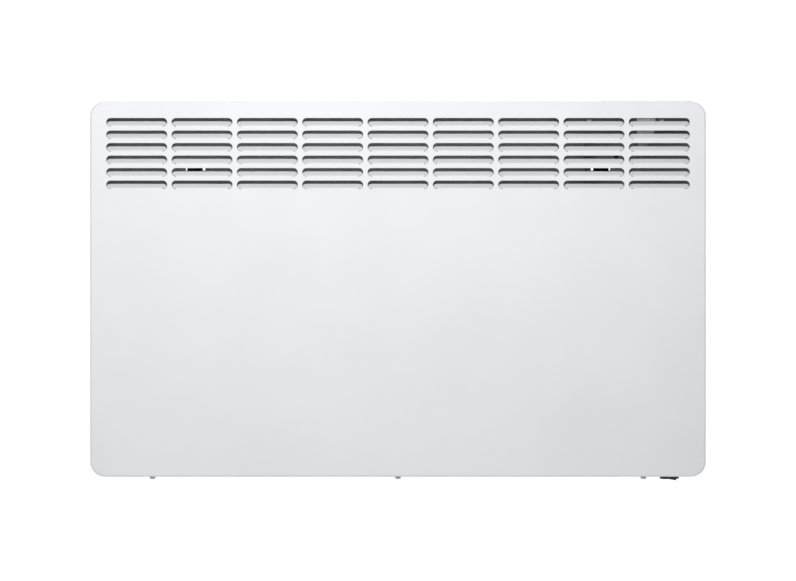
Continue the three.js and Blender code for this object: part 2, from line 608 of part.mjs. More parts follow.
function bottomPlateGeometry() {
  const lipFront = FRONT + SHEET + BEND + TOUCH;
  const step = FRONT + COVER_BOTTOM_FLANGE + TOUCH;
  const profile = polygon(
    [lipFront, LIP_UNDERSIDE],
    [step, LIP_UNDERSIDE],
    [step, BOTTOM],
    [AGAINST_REAR, BOTTOM],
    [AGAINST_REAR, BOTTOM + BOTTOM_REAR_LIP],
    [AGAINST_REAR - SHEET, BOTTOM + BOTTOM_REAR_LIP],
    [AGAINST_REAR - SHEET, BOTTOM + SHEET],
    [step + SHEET, BOTTOM + SHEET],
    [step + SHEET, LIP_UNDERSIDE + SHEET],
    [lipFront, LIP_UNDERSIDE + SHEET],
  );
  const holes = Object.values(COVER_SCREW_XS).map((x) =>
    rodZ(SCREW_SHANK_RADIUS + TOUCH, BOTTOM - OVERCUT, BOTTOM + 3 * OVERCUT, x, COVER_SCREW_Y),
  );
  const slot = alongZ(stadium(INTAKE_LENGTH, INTAKE_WIDTH), BOTTOM - OVERCUT, BOTTOM + SHEET + OVERCUT, 2);
  const firstRow = AGAINST_REAR - SHEET - INTAKE_PITCH_Y;
  const lastRow = step + SHEET + INTAKE_MARGIN + INTAKE_WIDTH / 2;
  const rows = 1 + Math.floor((firstRow - lastRow) / INTAKE_PITCH_Y);
  const slots = [];
  for (let column = 0; column < LOUVRE_COLUMNS - 1; column++) {
    for (let row = 0; row < rows; row++) {
      slots.push(slot.clone().translate(louvreColumnX(column), firstRow - row * INTAKE_PITCH_Y, 0));
    }
  }
  return cut(
    alongX(profile, -PLATE_HALF, PLATE_HALF),
    switchBody(FIT, BOTTOM - OVERCUT, BOTTOM + SHEET + OVERCUT),
    ...holes,
    ...slots,
  );
}

// A pan-head screw with its head down: the origin is under the head, on the shank's axis.
function screwGeometry(headRadius, headHeight, shankRadius, length) {
  const profile = [
    [0, -headHeight],
    [headRadius * 0.55, -headHeight * 0.9],
    [headRadius * 0.88, -headHeight * 0.55],
    [headRadius, 0],
    [shankRadius, 0],
    [shankRadius, length - shankRadius / 2],
    [0, length],
  ].map(([r, z]) => new THREE.Vector2(r, z));
  return new THREE.LatheGeometry(profile, 12).rotateX(Math.PI / 2);
}

// ---------------------------------------------------------------- wall bracket

function uprightProfile() {
  const outer = UPRIGHT_WIDTH / 2;
  const inner = outer - BRACKET_SHEET;
  const foot = outer + UPRIGHT_FOOT;
  return polygon(
    [-foot, 0],
    [-inner, 0],
    [-inner, BRACKET_FRONT + BRACKET_SHEET],
    [inner, BRACKET_FRONT + BRACKET_SHEET],
    [inner, 0],
    [foot, 0],
    [foot, -BRACKET_SHEET],
    [outer, -BRACKET_SHEET],
    [outer, BRACKET_FRONT],
    [-outer, BRACKET_FRONT],
    [-outer, -BRACKET_SHEET],
    [-foot, -BRACKET_SHEET],
  );
}

function prongGeometry(root) {
  return new THREE.BoxGeometry(HOOK_WIDTH, HOOK_SHEET, HOOK_LENGTH)
    .translate(0, 0, HOOK_LENGTH / 2 - HOOK_SINK)
    .rotateX(Math.PI / 4)
    .translate(0, BRACKET_FRONT + BRACKET_SHEET / 2, root);
}

function uprightGeometry(side) {
  const outerFoot = side * (UPRIGHT_WIDTH / 2 + UPRIGHT_FOOT / 2);
  const screwHoles = [UPRIGHT_TOP - WALL_HOLE_INSET, UPRIGHT_BOTTOM + WALL_HOLE_INSET].map((z) =>
    rodY(WALL_HOLE_RADIUS, -BRACKET_SHEET - OVERCUT, OVERCUT, outerFoot, z, 10),
  );
  const rivetHole = rodY(RIVET_RADIUS + TOUCH, -BRACKET_SHEET - OVERCUT, OVERCUT, -outerFoot, 0, 8);
  const [front, back] = [BRACKET_FRONT - OVERCUT, BRACKET_FRONT + BRACKET_SHEET + OVERCUT];
  const prongHalf = PRONG_WINDOW.width / 2;
  const noseHalf = SPRING_WIDTH / 2 + NOSE_WINDOW.margin;
  const windows = Object.values(HOOK_ROOTS).flatMap((root) => [
    block(
      -prongHalf,
      prongHalf,
      front,
      back,
      root + PRONG_WINDOW.start,
      root + HOOK_LENGTH + PRONG_WINDOW.margin,
    ),
    block(-noseHalf, noseHalf, front, back, root - NOSE_WINDOW.foot, root - NOSE_WINDOW.head),
  ]);
  const springHole = rodY(RIVET_RADIUS + TOUCH, front, back, 0, SPRING_RIVET_Z, 8);
  const channel = cut(
    alongZ(uprightProfile(), UPRIGHT_BOTTOM, UPRIGHT_TOP),
    ...screwHoles,
    rivetHole,
    ...windows,
    springHole,
  );
  return join(channel, ...Object.values(HOOK_ROOTS).map(prongGeometry));
}

function railGeometry() {
  const half = RAIL_HEIGHT / 2;
  const profile = polygon(
    [0, -half],
    [0, half],
    [-RAIL_FLANGE, half],
    [-RAIL_FLANGE, half - BRACKET_SHEET],
    [-BRACKET_SHEET, half - BRACKET_SHEET],
    [-BRACKET_SHEET, BRACKET_SHEET - half],
    [-RAIL_FLANGE, BRACKET_SHEET - half],
    [-RAIL_FLANGE, -half],
  );
  const end = HOOK_X - UPRIGHT_WIDTH / 2 - UPRIGHT_FOOT - TOUCH;
  const lapBack = -BRACKET_SHEET - TOUCH;
  const laps = [-1, 1].map((side) => {
    const [a, b] = [side * (end - 2 * BRACKET_SHEET), side * (end + TOUCH + RAIL_LAP)];
    const tongue = block(
      Math.min(a, b),
      Math.max(a, b),
      lapBack - BRACKET_SHEET,
      lapBack,
      BRACKET_SHEET - half,
      half - BRACKET_SHEET,
    );
    const knee = block(
      Math.min(a, side * end),
      Math.max(a, side * end),
      lapBack - BRACKET_SHEET / 2,
      -BRACKET_SHEET / 2,
      BRACKET_SHEET - half,
      half - BRACKET_SHEET,
    );
    return join(tongue, knee);
  });
  const holes = Object.values(BRACKET_SIDES).map((side) =>
    rodY(RIVET_RADIUS + TOUCH, -RAIL_FLANGE, OVERCUT, side * RIVET_X, 0, 8),
  );
  const wallSlot = alongY(stadium(WALL_SLOT.length, WALL_SLOT.height), -RAIL_FLANGE, OVERCUT, 5);
  const wallHoles = Object.values(BRACKET_SIDES).map((side) =>
    wallSlot.clone().translate((side * HOOK_X) / 2, 0, 0),
  );
  return cut(join(alongX(profile, -end, end), ...laps), ...holes, ...wallHoles);
}

// A blind rivet seen from its head: the head's underside is the origin and the shank runs towards +Y.
function rivetGeometry(grip) {
  const profile = [
    [0, -RIVET_HEAD_HEIGHT],
    [RIVET_HEAD_RADIUS * 0.63, -RIVET_HEAD_HEIGHT * 0.8],
    [RIVET_HEAD_RADIUS, 0],
    [RIVET_RADIUS, 0],
    [RIVET_RADIUS, grip],
    [0, grip],
  ].map(([r, y]) => new THREE.Vector2(r, y));
  return new THREE.LatheGeometry(profile, 10);
}

// A leaf spring behind the upright's web. Its nose reaches through the web and through the rear panel's
// slot, over the slot's bottom edge, so the heater can't be lifted until the spring's top is pushed back.
function latchSpringGeometry() {
  const front = BRACKET_FRONT + BRACKET_SHEET + TOUCH;
  const nose = hookSlotTop(HOOK_ROOTS.upper) - HOOK_SLOT_HEIGHT + TOUCH;
  const reach = REAR_INNER - NOSE_REACH;
  const tail = SPRING_RIVET_Z - SPRING_TAIL;
  const tabFoot = UPRIGHT_TOP + SPRING_TAB.rise;
  const tabTop = tabFoot + SPRING_TAB.slant + SPRING_TAB.thickness;
  const profile = polygon(
    [front, tail],
    [front + SPRING_SHEET, tail],
    [front + SPRING_SHEET, tabFoot],
    [front + SPRING_SHEET + SPRING_TAB.slant, tabTop],
    [front + SPRING_TAB.slant, tabTop],
    [front, tabFoot + SPRING_TAB.thickness],
    [front, nose + NOSE_ROOT],
    [reach, nose + NOSE_TIP],
    [reach, nose],
    [front, nose],
  );
  const hole = rodY(RIVET_RADIUS + TOUCH, front - OVERCUT, front + OVERCUT, 0, SPRING_RIVET_Z, 8);
  return cut(alongX(profile, -SPRING_WIDTH / 2, SPRING_WIDTH / 2), hole);
}

function addBracket() {
  const bracket = new THREE.Group();
  const springGrip = BRACKET_SHEET + SPRING_SHEET + 2 * TOUCH;
  heater.add(bracket);
  place(bracket, "bracket_rail", railGeometry(), FINISHES.blackPaint);
  for (const [name, side] of Object.entries(BRACKET_SIDES)) {
    const at = [side * HOOK_X, 0, 0];
    place(bracket, `bracket_upright_${name}`, uprightGeometry(side), FINISHES.blackPaint, at);
    place(bracket, `latch_spring_${name}`, latchSpringGeometry(), FINISHES.springSteel, at);
    place(
      bracket,
      `spring_rivet_${name}`,
      rivetGeometry(springGrip).rotateX(Math.PI),
      FINISHES.zincPlated,
      [side * HOOK_X, BRACKET_FRONT + springGrip, SPRING_RIVET_Z],
    );
    place(
      bracket,
      `rail_rivet_${name}`,
      rivetGeometry(2 * BRACKET_SHEET + TOUCH),
      FINISHES.zincPlated,
      [side * RIVET_X, -2 * BRACKET_SHEET - 2 * TOUCH, 0],
    );
  }
}

// ---------------------------------------------------------------- casing

function addCasing(casing) {
  place(casing, "front_cover", coverGeometry(), FINISHES.whitePaint);
  place(casing, "rear_panel", rearPanelGeometry(), FINISHES.galvanised);
  place(casing, "bottom_plate", bottomPlateGeometry(), FINISHES.whitePaint);
  const screw = screwGeometry(SCREW_HEAD_RADIUS, SCREW_HEAD_HEIGHT, SCREW_SHANK_RADIUS, SCREW_LENGTH);
  for (const [name, x] of Object.entries(COVER_SCREW_XS)) {
    place(casing, `cover_screw_${name}`, screw, FINISHES.zincPlated, [x, COVER_SCREW_Y, BOTTOM - 0.1]);
  }
  place(casing, "partition_plate", partitionGeometry(), FINISHES.galvanised);
}

// A sheet across the casing between the air duct and the wiring, with a foot against the rear panel.
function partitionGeometry() {
  const front = GUIDE_Y + PARTITION_FRONT_GAP;
  const low = BOTTOM + BOTTOM_REAR_LIP + PARTITION_LIFT;
  const high = HOUSING_FLOOR - PARTITION_HEADROOM;
  const wall = block(PARTITION_X, PARTITION_X + LINER, front, AGAINST_REAR, low, high);
  const foot = block(
    PARTITION_X,
    PARTITION_X + PARTITION_FOOT.width,
    AGAINST_REAR - LINER,
    AGAINST_REAR,
    low + PARTITION_FOOT.rise,
    high - PARTITION_FOOT.drop,
  );
  const [x0, x1] = [PARTITION_X - OVERCUT, PARTITION_X + OVERCUT];
  const tubeHoles = RUN_ZS.map((z) => rodX(TERMINAL_RADIUS + TERMINAL_HOLE_GAP, x0, x1, CHIMNEY_Y, z));
  const leadHole = rodX(LEAD_HOLE_RADIUS, x0, x1, CHIMNEY_Y, LEAD_HOLE_Z);
  return cut(join(wall, foot), ...tubeHoles, leadHole);
}

// ---------------------------------------------------------------- heating element

function tubeGeometry() {
  const bendX = SUPPORT_LEFT - TUBE_OVERHANG;
  const ring = new THREE.TorusGeometry(RUN_SPACING / 2, TUBE_RADIUS, 16, 24).rotateX(Math.PI / 2);
  const bend = cut(ring, block(0, RUN_SPACING, -RUN_SPACING, RUN_SPACING, -RUN_SPACING, RUN_SPACING));
  bend.translate(bendX, CHIMNEY_Y, ELEMENT_Z);
  const runs = RUN_ZS.map((z) => rodX(TUBE_RADIUS, bendX - 0.05, TUBE_END, CHIMNEY_Y, z, 16));
  return join(bend, ...runs);
}

// Fins pressed on both runs. Their collars meet, so the pack is one sleeved stack.
function finPackGeometry() {
  const fins = [];
  for (let i = 0; i < FIN_COUNT; i++) {
    const x = FIN_FIRST + i * FIN_PITCH;
    fins.push(
      block(
        x,
        x + FIN_THICKNESS,
        CHIMNEY_Y - FIN_DEPTH / 2,
        CHIMNEY_Y + FIN_DEPTH / 2,
        FINS_FOOT,
        FINS_TOP,
      ),
    );
  }
  const end = FIN_FIRST + (FIN_COUNT - 1) * FIN_PITCH + FIN_THICKNESS;
  const bore = TUBE_RADIUS + TOUCH;
  const collars = RUN_ZS.map((z) => rodX(bore + COLLAR_WALL, FIN_FIRST, end, CHIMNEY_Y, z, 8));
  const bores = RUN_ZS.map((z) => rodX(bore, FIN_FIRST - OVERCUT, end + OVERCUT, CHIMNEY_Y, z, 12));
  return cut(join(...fins, ...collars), ...bores);
}

// A sheet bracket standing on the rear panel, with the front air guide fixed to its front flange.
function supportGeometry(flangeWay) {
  const front = GUIDE_Y + LINER + TOUCH;
  const [low, high] = [FINS_FOOT - SUPPORT_MARGIN, FINS_TOP + SUPPORT_MARGIN];
  const web = block(0, SHEET, front, AGAINST_REAR, low, high);
  const [a, b] = flangeWay > 0 ? [0, SUPPORT_FLANGE] : [SHEET - SUPPORT_FLANGE, SHEET];
  const rearFlange = block(a, b, AGAINST_REAR - SHEET, AGAINST_REAR, low, high);
  const frontFlange = block(a, b, front, front + SHEET, low, high);
  const holes = RUN_ZS.map((z) => rodX(BUSH_NECK + TOUCH, -OVERCUT, SHEET + OVERCUT, CHIMNEY_Y, z));
  return cut(join(web, rearFlange, frontFlange), ...holes);
}

// A fired ceramic piece with a neck through each of a support's two holes and a bore for each tube run.
function bushGeometry() {
  const reach = SHEET + 2 * TOUCH;
  const width = 2 * (BUSH_NECK + BUSH_FLANGE);
  const outline = stadium(width + RUN_SPACING, width);
  const flange = alongX(outline, -BUSH_THICKNESS, -TOUCH, 4).rotateX(Math.PI / 2);
  const centres = [-RUN_SPACING / 2, RUN_SPACING / 2];
  const necks = centres.map((z) => rodX(BUSH_NECK, -TOUCH - 0.1, reach, 0, z));
  const bores = centres.map((z) =>
    rodX(TUBE_RADIUS + TOUCH, -BUSH_THICKNESS - OVERCUT, reach + OVERCUT, 0, z, 16),
  );
  return cut(join(flange, ...necks), ...bores);
}

// The ceramic end of one run, with the spade terminal of its cold pin.
function terminalEndGeometry() {
  const pinEnd = TERMINAL_LENGTH + TERMINAL_PIN;
  const insulator = rodX(TERMINAL_RADIUS, 0, TERMINAL_LENGTH, 0, 0, 12);
  const pin = rodX(PIN_RADIUS, TERMINAL_LENGTH - 1, pinEnd, 0, 0, 8);
  const spade = spadeAlongX(pinEnd - 1, TERMINAL_REACH);
  return join(insulator, pin, spade);
}

function spadeAlongX(x0, x1) {
  const [halfWidth, halfThickness] = [SPADE.width / 2, SPADE.thickness / 2];
  return block(x0, x1, -halfWidth, halfWidth, -halfThickness, halfThickness);
}

function spadeAlongZ(z0, z1) {
  const [halfWidth, halfThickness] = [SPADE.width / 2, SPADE.thickness / 2];
  return block(-halfThickness, halfThickness, -halfWidth, halfWidth, z0, z1);
}

function airGuideGeometry() {
  const [z0, z1] = [BOTTOM + CHIMNEY_FOOT, CHIMNEY_TOP];
  const inner = GUIDE_Y + LINER;
  const profile = polygon(
    [GUIDE_Y, z0],
    [inner, z0],
    [inner, z1],
    [inner + GUIDE_LEAN, z1 + GUIDE_LEAN],
    [GUIDE_Y + GUIDE_LEAN, z1 + GUIDE_LEAN + LINER],
    [GUIDE_Y, z1 + LINER],
  );
  return alongX(profile, SUPPORT_LEFT - GUIDE_OVERHANG.left, SUPPORT_RIGHT + GUIDE_OVERHANG.right);
}

// The reflector stands off the rear panel on the flanges along its top and bottom.
function reflectorGeometry() {
  const [z0, z1] = [BOTTOM + CHIMNEY_FOOT, CHIMNEY_TOP];
  const face = REFLECTOR_Y - LINER;
  const profile = polygon(
    [face, z0],
    [AGAINST_REAR, z0],
    [AGAINST_REAR, z0 + LINER],
    [REFLECTOR_Y, z0 + LINER],
    [REFLECTOR_Y, z1 - LINER],
    [AGAINST_REAR, z1 - LINER],
    [AGAINST_REAR, z1],
    [face, z1],
  );
  return alongX(profile, SUPPORT_LEFT + SHEET + REFLECTOR_MARGIN, SUPPORT_RIGHT - REFLECTOR_MARGIN);
}

// A strap from the reflector's face that carries the safety cut-out over the fins.
function cutoutStrapGeometry() {
  const root = REFLECTOR_Y - LINER - TOUCH;
  const profile = polygon(
    [root, CUTOUT_Z + STRAP.upturn],
    [root - SHEET, CUTOUT_Z + STRAP.upturn],
    [root - SHEET, CUTOUT_Z + SHEET],
    [CHIMNEY_Y - STRAP.reach, CUTOUT_Z + SHEET],
    [CHIMNEY_Y - STRAP.reach, CUTOUT_Z],
    [root, CUTOUT_Z],
  );
  return cut(
    alongX(profile, CUTOUT_X - STRAP.width / 2, CUTOUT_X + STRAP.width / 2),
    rodZ(CUTOUT_CAP.radius + TOUCH, CUTOUT_Z - OVERCUT, CUTOUT_Z + OVERCUT, CUTOUT_X, CHIMNEY_Y, 12),
  );
}

// A snap-disc thermostat: cap below, body above, two spade terminals on top.
function cutoutGeometry() {
  const seat = SHEET + TOUCH;
  const cap = rodZ(CUTOUT_CAP.radius, -CUTOUT_CAP.height, seat + 0.1, 0, 0, 16);
  const body = rodZ(CUTOUT_BODY.radius, seat, CUTOUT_BODY.top, 0, 0, 16);
  const spades = [-CUTOUT_SPADES.offset, CUTOUT_SPADES.offset].map((x) =>
    spadeAlongZ(CUTOUT_BODY.top - 0.5, CUTOUT_SPADES.top).translate(x, 0, 0),
  );
  return join(cap, body, ...spades);
}

function addElement(casing) {
  place(casing, "heating_tube", tubeGeometry(), FINISHES.stainless);
  place(casing, "element_fins", finPackGeometry(), FINISHES.aluminium);
  place(casing, "element_support_left", supportGeometry(-1), FINISHES.galvanised, [SUPPORT_LEFT, 0, 0]);
  place(casing, "element_support_right", supportGeometry(1), FINISHES.galvanised, [SUPPORT_RIGHT, 0, 0]);
  for (const [side, x] of [["left", SUPPORT_LEFT], ["right", SUPPORT_RIGHT]]) {
    place(casing, `ceramic_bush_${side}`, bushGeometry(), FINISHES.ceramic, [x, CHIMNEY_Y, ELEMENT_Z]);
  }
  RUN_ZS.forEach((z, i) => {
    const name = `element_terminal_${["lower", "upper"][i]}`;
    place(casing, name, terminalEndGeometry(), FINISHES.ceramic, [TUBE_END + TOUCH, CHIMNEY_Y, z]);
  });
  place(casing, "air_guide_front", airGuideGeometry(), FINISHES.galvanised);
  place(casing, "rear_reflector", reflectorGeometry(), FINISHES.galvanised);
  place(casing, "cutout_strap", cutoutStrapGeometry(), FINISHES.galvanised);
  place(casing, "safety_cutout", cutoutGeometry(), FINISHES.blackPlastic, [CUTOUT_X, CHIMNEY_Y, CUTOUT_Z]);
}

// ---------------------------------------------------------------- control unit

// The part of the control panel that drops through the casing's top, grown by a clearance.
function fasciaBody(grow, z0, z1) {
  const width = CONTROL_WIDTH - 2 * FASCIA_RIM + 2 * grow;
  const depth = FASCIA_DEPTH - 2 * FASCIA_RIM + 2 * grow;
  return alongZ(roundedRect(width, depth, FASCIA_RADIUS - 1), z0, z1, 2).translate(FASCIA_X, FASCIA_Y, 0);
}

function displayOpening(grow, z0, z1) {
  const outline = roundedRect(DISPLAY_WIDTH + 2 * grow, DISPLAY_DEPTH + 2 * grow, WINDOW_RADIUS);
  return alongZ(outline, z0, z1, 2).translate(DISPLAY_X, FASCIA_Y, 0);
}

function fasciaGeometry() {
  const lip = alongZ(roundedRect(CONTROL_WIDTH, FASCIA_DEPTH, FASCIA_RADIUS), TOP + 0.1, FASCIA_FACE, 3);
  lip.translate(FASCIA_X, FASCIA_Y, 0);
  const below = FASCIA_UNDERSIDE - OVERCUT;
  const above = FASCIA_FACE + OVERCUT;
  const window = displayOpening(0, FASCIA_FACE - WINDOW_RECESS, above);
  const lightOpening = displayOpening(-WINDOW_LEDGE, below, FASCIA_FACE);
  const outline = roundedRect(KEY_WIDTH + 2 * KEY_SIDE_GAP, KEY_DEPTH + 2 * KEY_SIDE_GAP, KEY_RADIUS + 0.2);
  const keyHole = alongZ(outline, below, above, 2);
  const keyHoles = Object.values(KEYS).map(([x, y]) => keyHole.clone().translate(x, y, 0));
  return cut(join(lip, fasciaBody(0, FASCIA_UNDERSIDE, TOP + 0.5)), window, lightOpening, ...keyHoles);
}

function housingGeometry() {
  const outer = block(HOUSING_LEFT, HOUSING_RIGHT, HOUSING_FRONT, HOUSING_BACK, HOUSING_FLOOR, HOUSING_TOP);
  const inner = block(
    HOUSING_LEFT + HOUSING_WALL,
    HOUSING_RIGHT - HOUSING_WALL,
    HOUSING_FRONT + HOUSING_WALL,
    HOUSING_BACK - HOUSING_WALL,
    HOUSING_FLOOR + HOUSING_WALL,
    HOUSING_TOP + OVERCUT,
  );
  const slotHalf = RIBBON_WIDTH / 2 + RIBBON_SLOT.margin;
  const slotTop = BOARD_UNDERSIDE - RIBBON_SLOT.below;
  const ribbonSlot = block(
    RIBBON_X - slotHalf,
    RIBBON_X + slotHalf,
    HOUSING_FRONT - OVERCUT,
    HOUSING_FRONT + HOUSING_WALL + OVERCUT,
    slotTop - RIBBON_SLOT.height,
    slotTop,
  );
  return cut(outer, inner, ribbonSlot);
}

// The steel shelf under the control housing: a flange against the rear panel and two clips at the front.
function shelfGeometry() {
  const top = HOUSING_FLOOR - TOUCH;
  const clipFront = HOUSING_FRONT - TOUCH - LINER;
  const plate = block(HOUSING_LEFT, HOUSING_RIGHT, clipFront, AGAINST_REAR, top - LINER, top);
  const flange = block(
    HOUSING_LEFT,
    HOUSING_RIGHT,
    AGAINST_REAR - LINER,
    AGAINST_REAR,
    top - SHELF_FLANGE,
    top - 0.1,
  );
  const clip = block(0, SHELF_CLIP.width, clipFront, clipFront + LINER, top - 0.1, top + SHELF_CLIP.height);
  const clips = SHELF_CLIP_INSETS.map((inset) =>
    clip.clone().translate(HOUSING_LEFT + inset - SHELF_CLIP.width / 2, 0, 0),
  );
  return join(plate, flange, ...clips);
}

// A printed board with the tact switches that the keys press soldered on it.
function controlBoardGeometry() {
  const wallGap = HOUSING_WALL + BOARD_MARGIN.side;
  const x0 = FASCIA_X - CONTROL_WIDTH / 2 + BOARD_MARGIN.left;
  const [y0, y1] = [HOUSING_FRONT + wallGap, HOUSING_BACK - wallGap];
  const board = block(x0, HOUSING_RIGHT - wallGap, y0, y1, BOARD_UNDERSIDE, BOARD_TOP);
  const half = TACT.side / 2;
  const tacts = Object.values(KEYS).map(([x, y]) =>
    block(x - half, x + half, y - half, y + half, BOARD_TOP - 0.1, TACT_TOP),
  );
  const connector = block(
    RIBBON_X - RIBBON_WIDTH / 2,
    RIBBON_X + RIBBON_WIDTH / 2,
    y0 + CONNECTOR.inset,
    y0 + CONNECTOR.inset + CONNECTOR.depth,
    BOARD_UNDERSIDE - CONNECTOR.height,
    BOARD_UNDERSIDE + 0.1,
  );
  return join(board, ...tacts, connector);
}

// A key cap on its collar and stem. The origin is at the cap's top.
function keyGeometry() {
  const underside = FASCIA_UNDERSIDE - TOUCH - FASCIA_FACE;
  const stemEnd = TACT_TOP + KEY_TRAVEL + TOUCH - FASCIA_FACE;
  const cap = alongZ(roundedRect(KEY_WIDTH, KEY_DEPTH, KEY_RADIUS), underside - 0.1, 0, 2);
  const collar = block(
    -KEY_WIDTH / 2 - KEY_COLLAR,
    KEY_WIDTH / 2 + KEY_COLLAR,
    -KEY_DEPTH / 2 - KEY_COLLAR,
    KEY_DEPTH / 2 + KEY_COLLAR,
    underside - KEY_COLLAR,
    underside,
  );
  return join(cap, collar, rodZ(2, stemEnd, underside, 0, 0, 8));
}

// The strip is carried along the path, and turned about it where it twists.
function ribbonGeometry() {
  const startY = HOUSING_FRONT - RIBBON_STAND_OFF;
  const stops = RIBBON_STOPS.map(
    ([left, behind, below]) => new THREE.Vector3(RIBBON_X - left, startY + behind, HOUSING_FLOOR - below),
  );
  const end = new THREE.Vector3(
    POWER_BOARD.x,
    POWER_BOARD.front - RIBBON_END.ahead,
    POWER_BOARD.top - RIBBON_END.below,
  );
  const path = new THREE.CatmullRomCurve3([...stops, end]);
  const geometry = new THREE.BoxGeometry(RIBBON_WIDTH, RIBBON_THICKNESS, 1, 1, 1, RIBBON_STEPS);
  const position = geometry.getAttribute("position");
  const across = new THREE.Vector3();
  const normal = new THREE.Vector3();
  for (let i = 0; i < position.count; i++) {
    const t = position.getZ(i) + 0.5;
    const tangent = path.getTangentAt(t);
    const turned = THREE.MathUtils.clamp((t - RIBBON_TWIST.from) / RIBBON_TWIST.over, 0, 1);
    const twist = THREE.MathUtils.degToRad(turned * RIBBON_TWIST.degrees);
    across.set(Math.cos(twist), Math.sin(twist), 0);
    normal.crossVectors(tangent, across).normalize();
    across.crossVectors(normal, tangent).normalize();
    const point = path.getPointAt(t);
    point.addScaledVector(across, position.getX(i)).addScaledVector(normal, position.getY(i));
    position.setXYZ(i, point.x, point.y, point.z);
  }
  return geometry;
}

function addControl(casing) {
  const glassTop = FASCIA_FACE - WINDOW_SINK;
  place(casing, "control_housing", housingGeometry(), FINISHES.blackPlastic);
  place(casing, "control_fascia", fasciaGeometry(), FINISHES.whitePlastic);
  place(
    casing,
    "display_window",
    displayOpening(-TOUCH, glassTop - WINDOW_THICKNESS, glassTop),
    FINISHES.smokedWindow,
  );
  place(
    casing,
    "display_module",
    displayOpening(WINDOW_LEDGE, BOARD_TOP + TOUCH, FASCIA_UNDERSIDE - TOUCH),
    FINISHES.displayGlass,
  );
  place(casing, "control_board", controlBoardGeometry(), FINISHES.circuitBoard);
  for (const [name, [x, y]] of Object.entries(KEYS)) {
    place(casing, name, keyGeometry(), FINISHES.whitePlastic, [x, y, FASCIA_FACE]);
  }
  place(casing, "ribbon_cable", ribbonGeometry(), FINISHES.ribbonGrey);
  place(casing, "control_shelf", shelfGeometry(), FINISHES.galvanised);
}

// ---------------------------------------------------------------- wiring compartment

// The power board on its four spacers.
function powerBoardGeometry() {
  const { x, bottom, top, back, front } = POWER_BOARD;
  const half = POWER_BOARD_SIZE.width / 2;
  const board = block(x - half, x + half, front, back, bottom, top);
  const spacers = [-1, 1].flatMap((side) =>
    [bottom + SPACER.inset, top - SPACER.inset].map((z) =>
      rodY(SPACER.radius, back - 0.5, AGAINST_REAR, x + side * (half - SPACER.inset), z, 8),
    ),
  );
  const { radius, height, right, drop } = CAPACITOR;
  const capacitor = rodY(radius, front - height, front + 0.5, x + right, top - drop, 12);
  return join(board, ...spacers, capacitor);
}

// Three clamps side by side, each with a wire hole above and below and a screw hole in front.
function terminalBlockGeometry() {
  const { width, depth, height, pitch } = TERMINAL_BLOCK;
  const { wire, wireDepth, screw, screwDepth } = TERMINAL_ENTRY;
  const body = block(-width / 2, width / 2, -depth, 0, -height / 2, height / 2);
  const entries = [-pitch, 0, pitch].flatMap((x) => [
    rodZ(wire, height / 2 - wireDepth, height / 2 + OVERCUT, x, -depth / 2, 8),
    rodZ(wire, -height / 2 - OVERCUT, wireDepth - height / 2, x, -depth / 2, 8),
    rodY(screw, -depth - OVERCUT, screwDepth - depth, x, 0, 8),
  ]);
  return cut(body, ...entries);
}

// The body of the mains switch, grown by a clearance.
function switchBody(grow, z0, z1) {
  const halfX = SWITCH_WIDTH / 2 - SWITCH_BODY_INSET + grow;
  const halfY = SWITCH_DEPTH / 2 - SWITCH_BODY_INSET + grow;
  return block(SWITCH_X - halfX, SWITCH_X + halfX, SWITCH_Y - halfY, SWITCH_Y + halfY, z0, z1);
}

function switchBodyGeometry() {
  const bezel = alongZ(roundedRect(SWITCH_WIDTH, SWITCH_DEPTH, 1.5), BEZEL_FACE, BOTTOM - 0.1, 3);
  bezel.translate(SWITCH_X, SWITCH_Y, 0);
  const body = switchBody(0, BOTTOM - 1, BOTTOM + SWITCH_BODY_HEIGHT);
  const [halfX, halfY] = [ROCKER_HALF + ROCKER_GAP.ends, ROCKER_DEPTH / 2 + ROCKER_GAP.sides];
  const pocket = block(
    SWITCH_X - halfX,
    SWITCH_X + halfX,
    SWITCH_Y - halfY,
    SWITCH_Y + halfY,
    BEZEL_FACE - OVERCUT,
    BOTTOM + ROCKER_POCKET,
  );
  const spade = spadeAlongZ(BOTTOM + SWITCH_BODY_HEIGHT - 1, BOTTOM + SWITCH_SPADES.top);
  const spades = [-SWITCH_SPADES.offset, SWITCH_SPADES.offset].map((x) =>
    spade.clone().translate(SWITCH_X + x, SWITCH_Y, 0),
  );
  return cut(join(bezel, body, ...spades), pocket);
}

// The rocker, drawn level about its pivot: two faces that meet in a shallow valley, and round ends.
function rockerGeometry() {
  const slope = Math.tan(THREE.MathUtils.degToRad(ROCKER_THROW / 2));
  const valley = -ROCKER_FACE;
  const flat = ROCKER_HALF - ROCKER_ROUND;
  const flatEnd = valley - flat * slope;
  const tip = valley - ROCKER_HALF * slope + 0.1;
  const shoulder = ROCKER_HALF - ROCKER_SHOULDER.inset;
  const tail = ROCKER_TAIL.width / 2;
  const shape = new THREE.Shape();
  shape.moveTo(0, valley);
  shape.lineTo(flat, flatEnd);
  shape.quadraticCurveTo(ROCKER_HALF, tip, ROCKER_HALF, valley);
  shape.lineTo(shoulder, ROCKER_SHOULDER.height);
  shape.lineTo(tail, ROCKER_TAIL.height);
  shape.lineTo(-tail, ROCKER_TAIL.height);
  shape.lineTo(-shoulder, ROCKER_SHOULDER.height);
  shape.lineTo(-ROCKER_HALF, valley);
  shape.quadraticCurveTo(-ROCKER_HALF, tip, -flat, flatEnd);
  return alongY(shape, -ROCKER_DEPTH / 2, ROCKER_DEPTH / 2, 3);
}

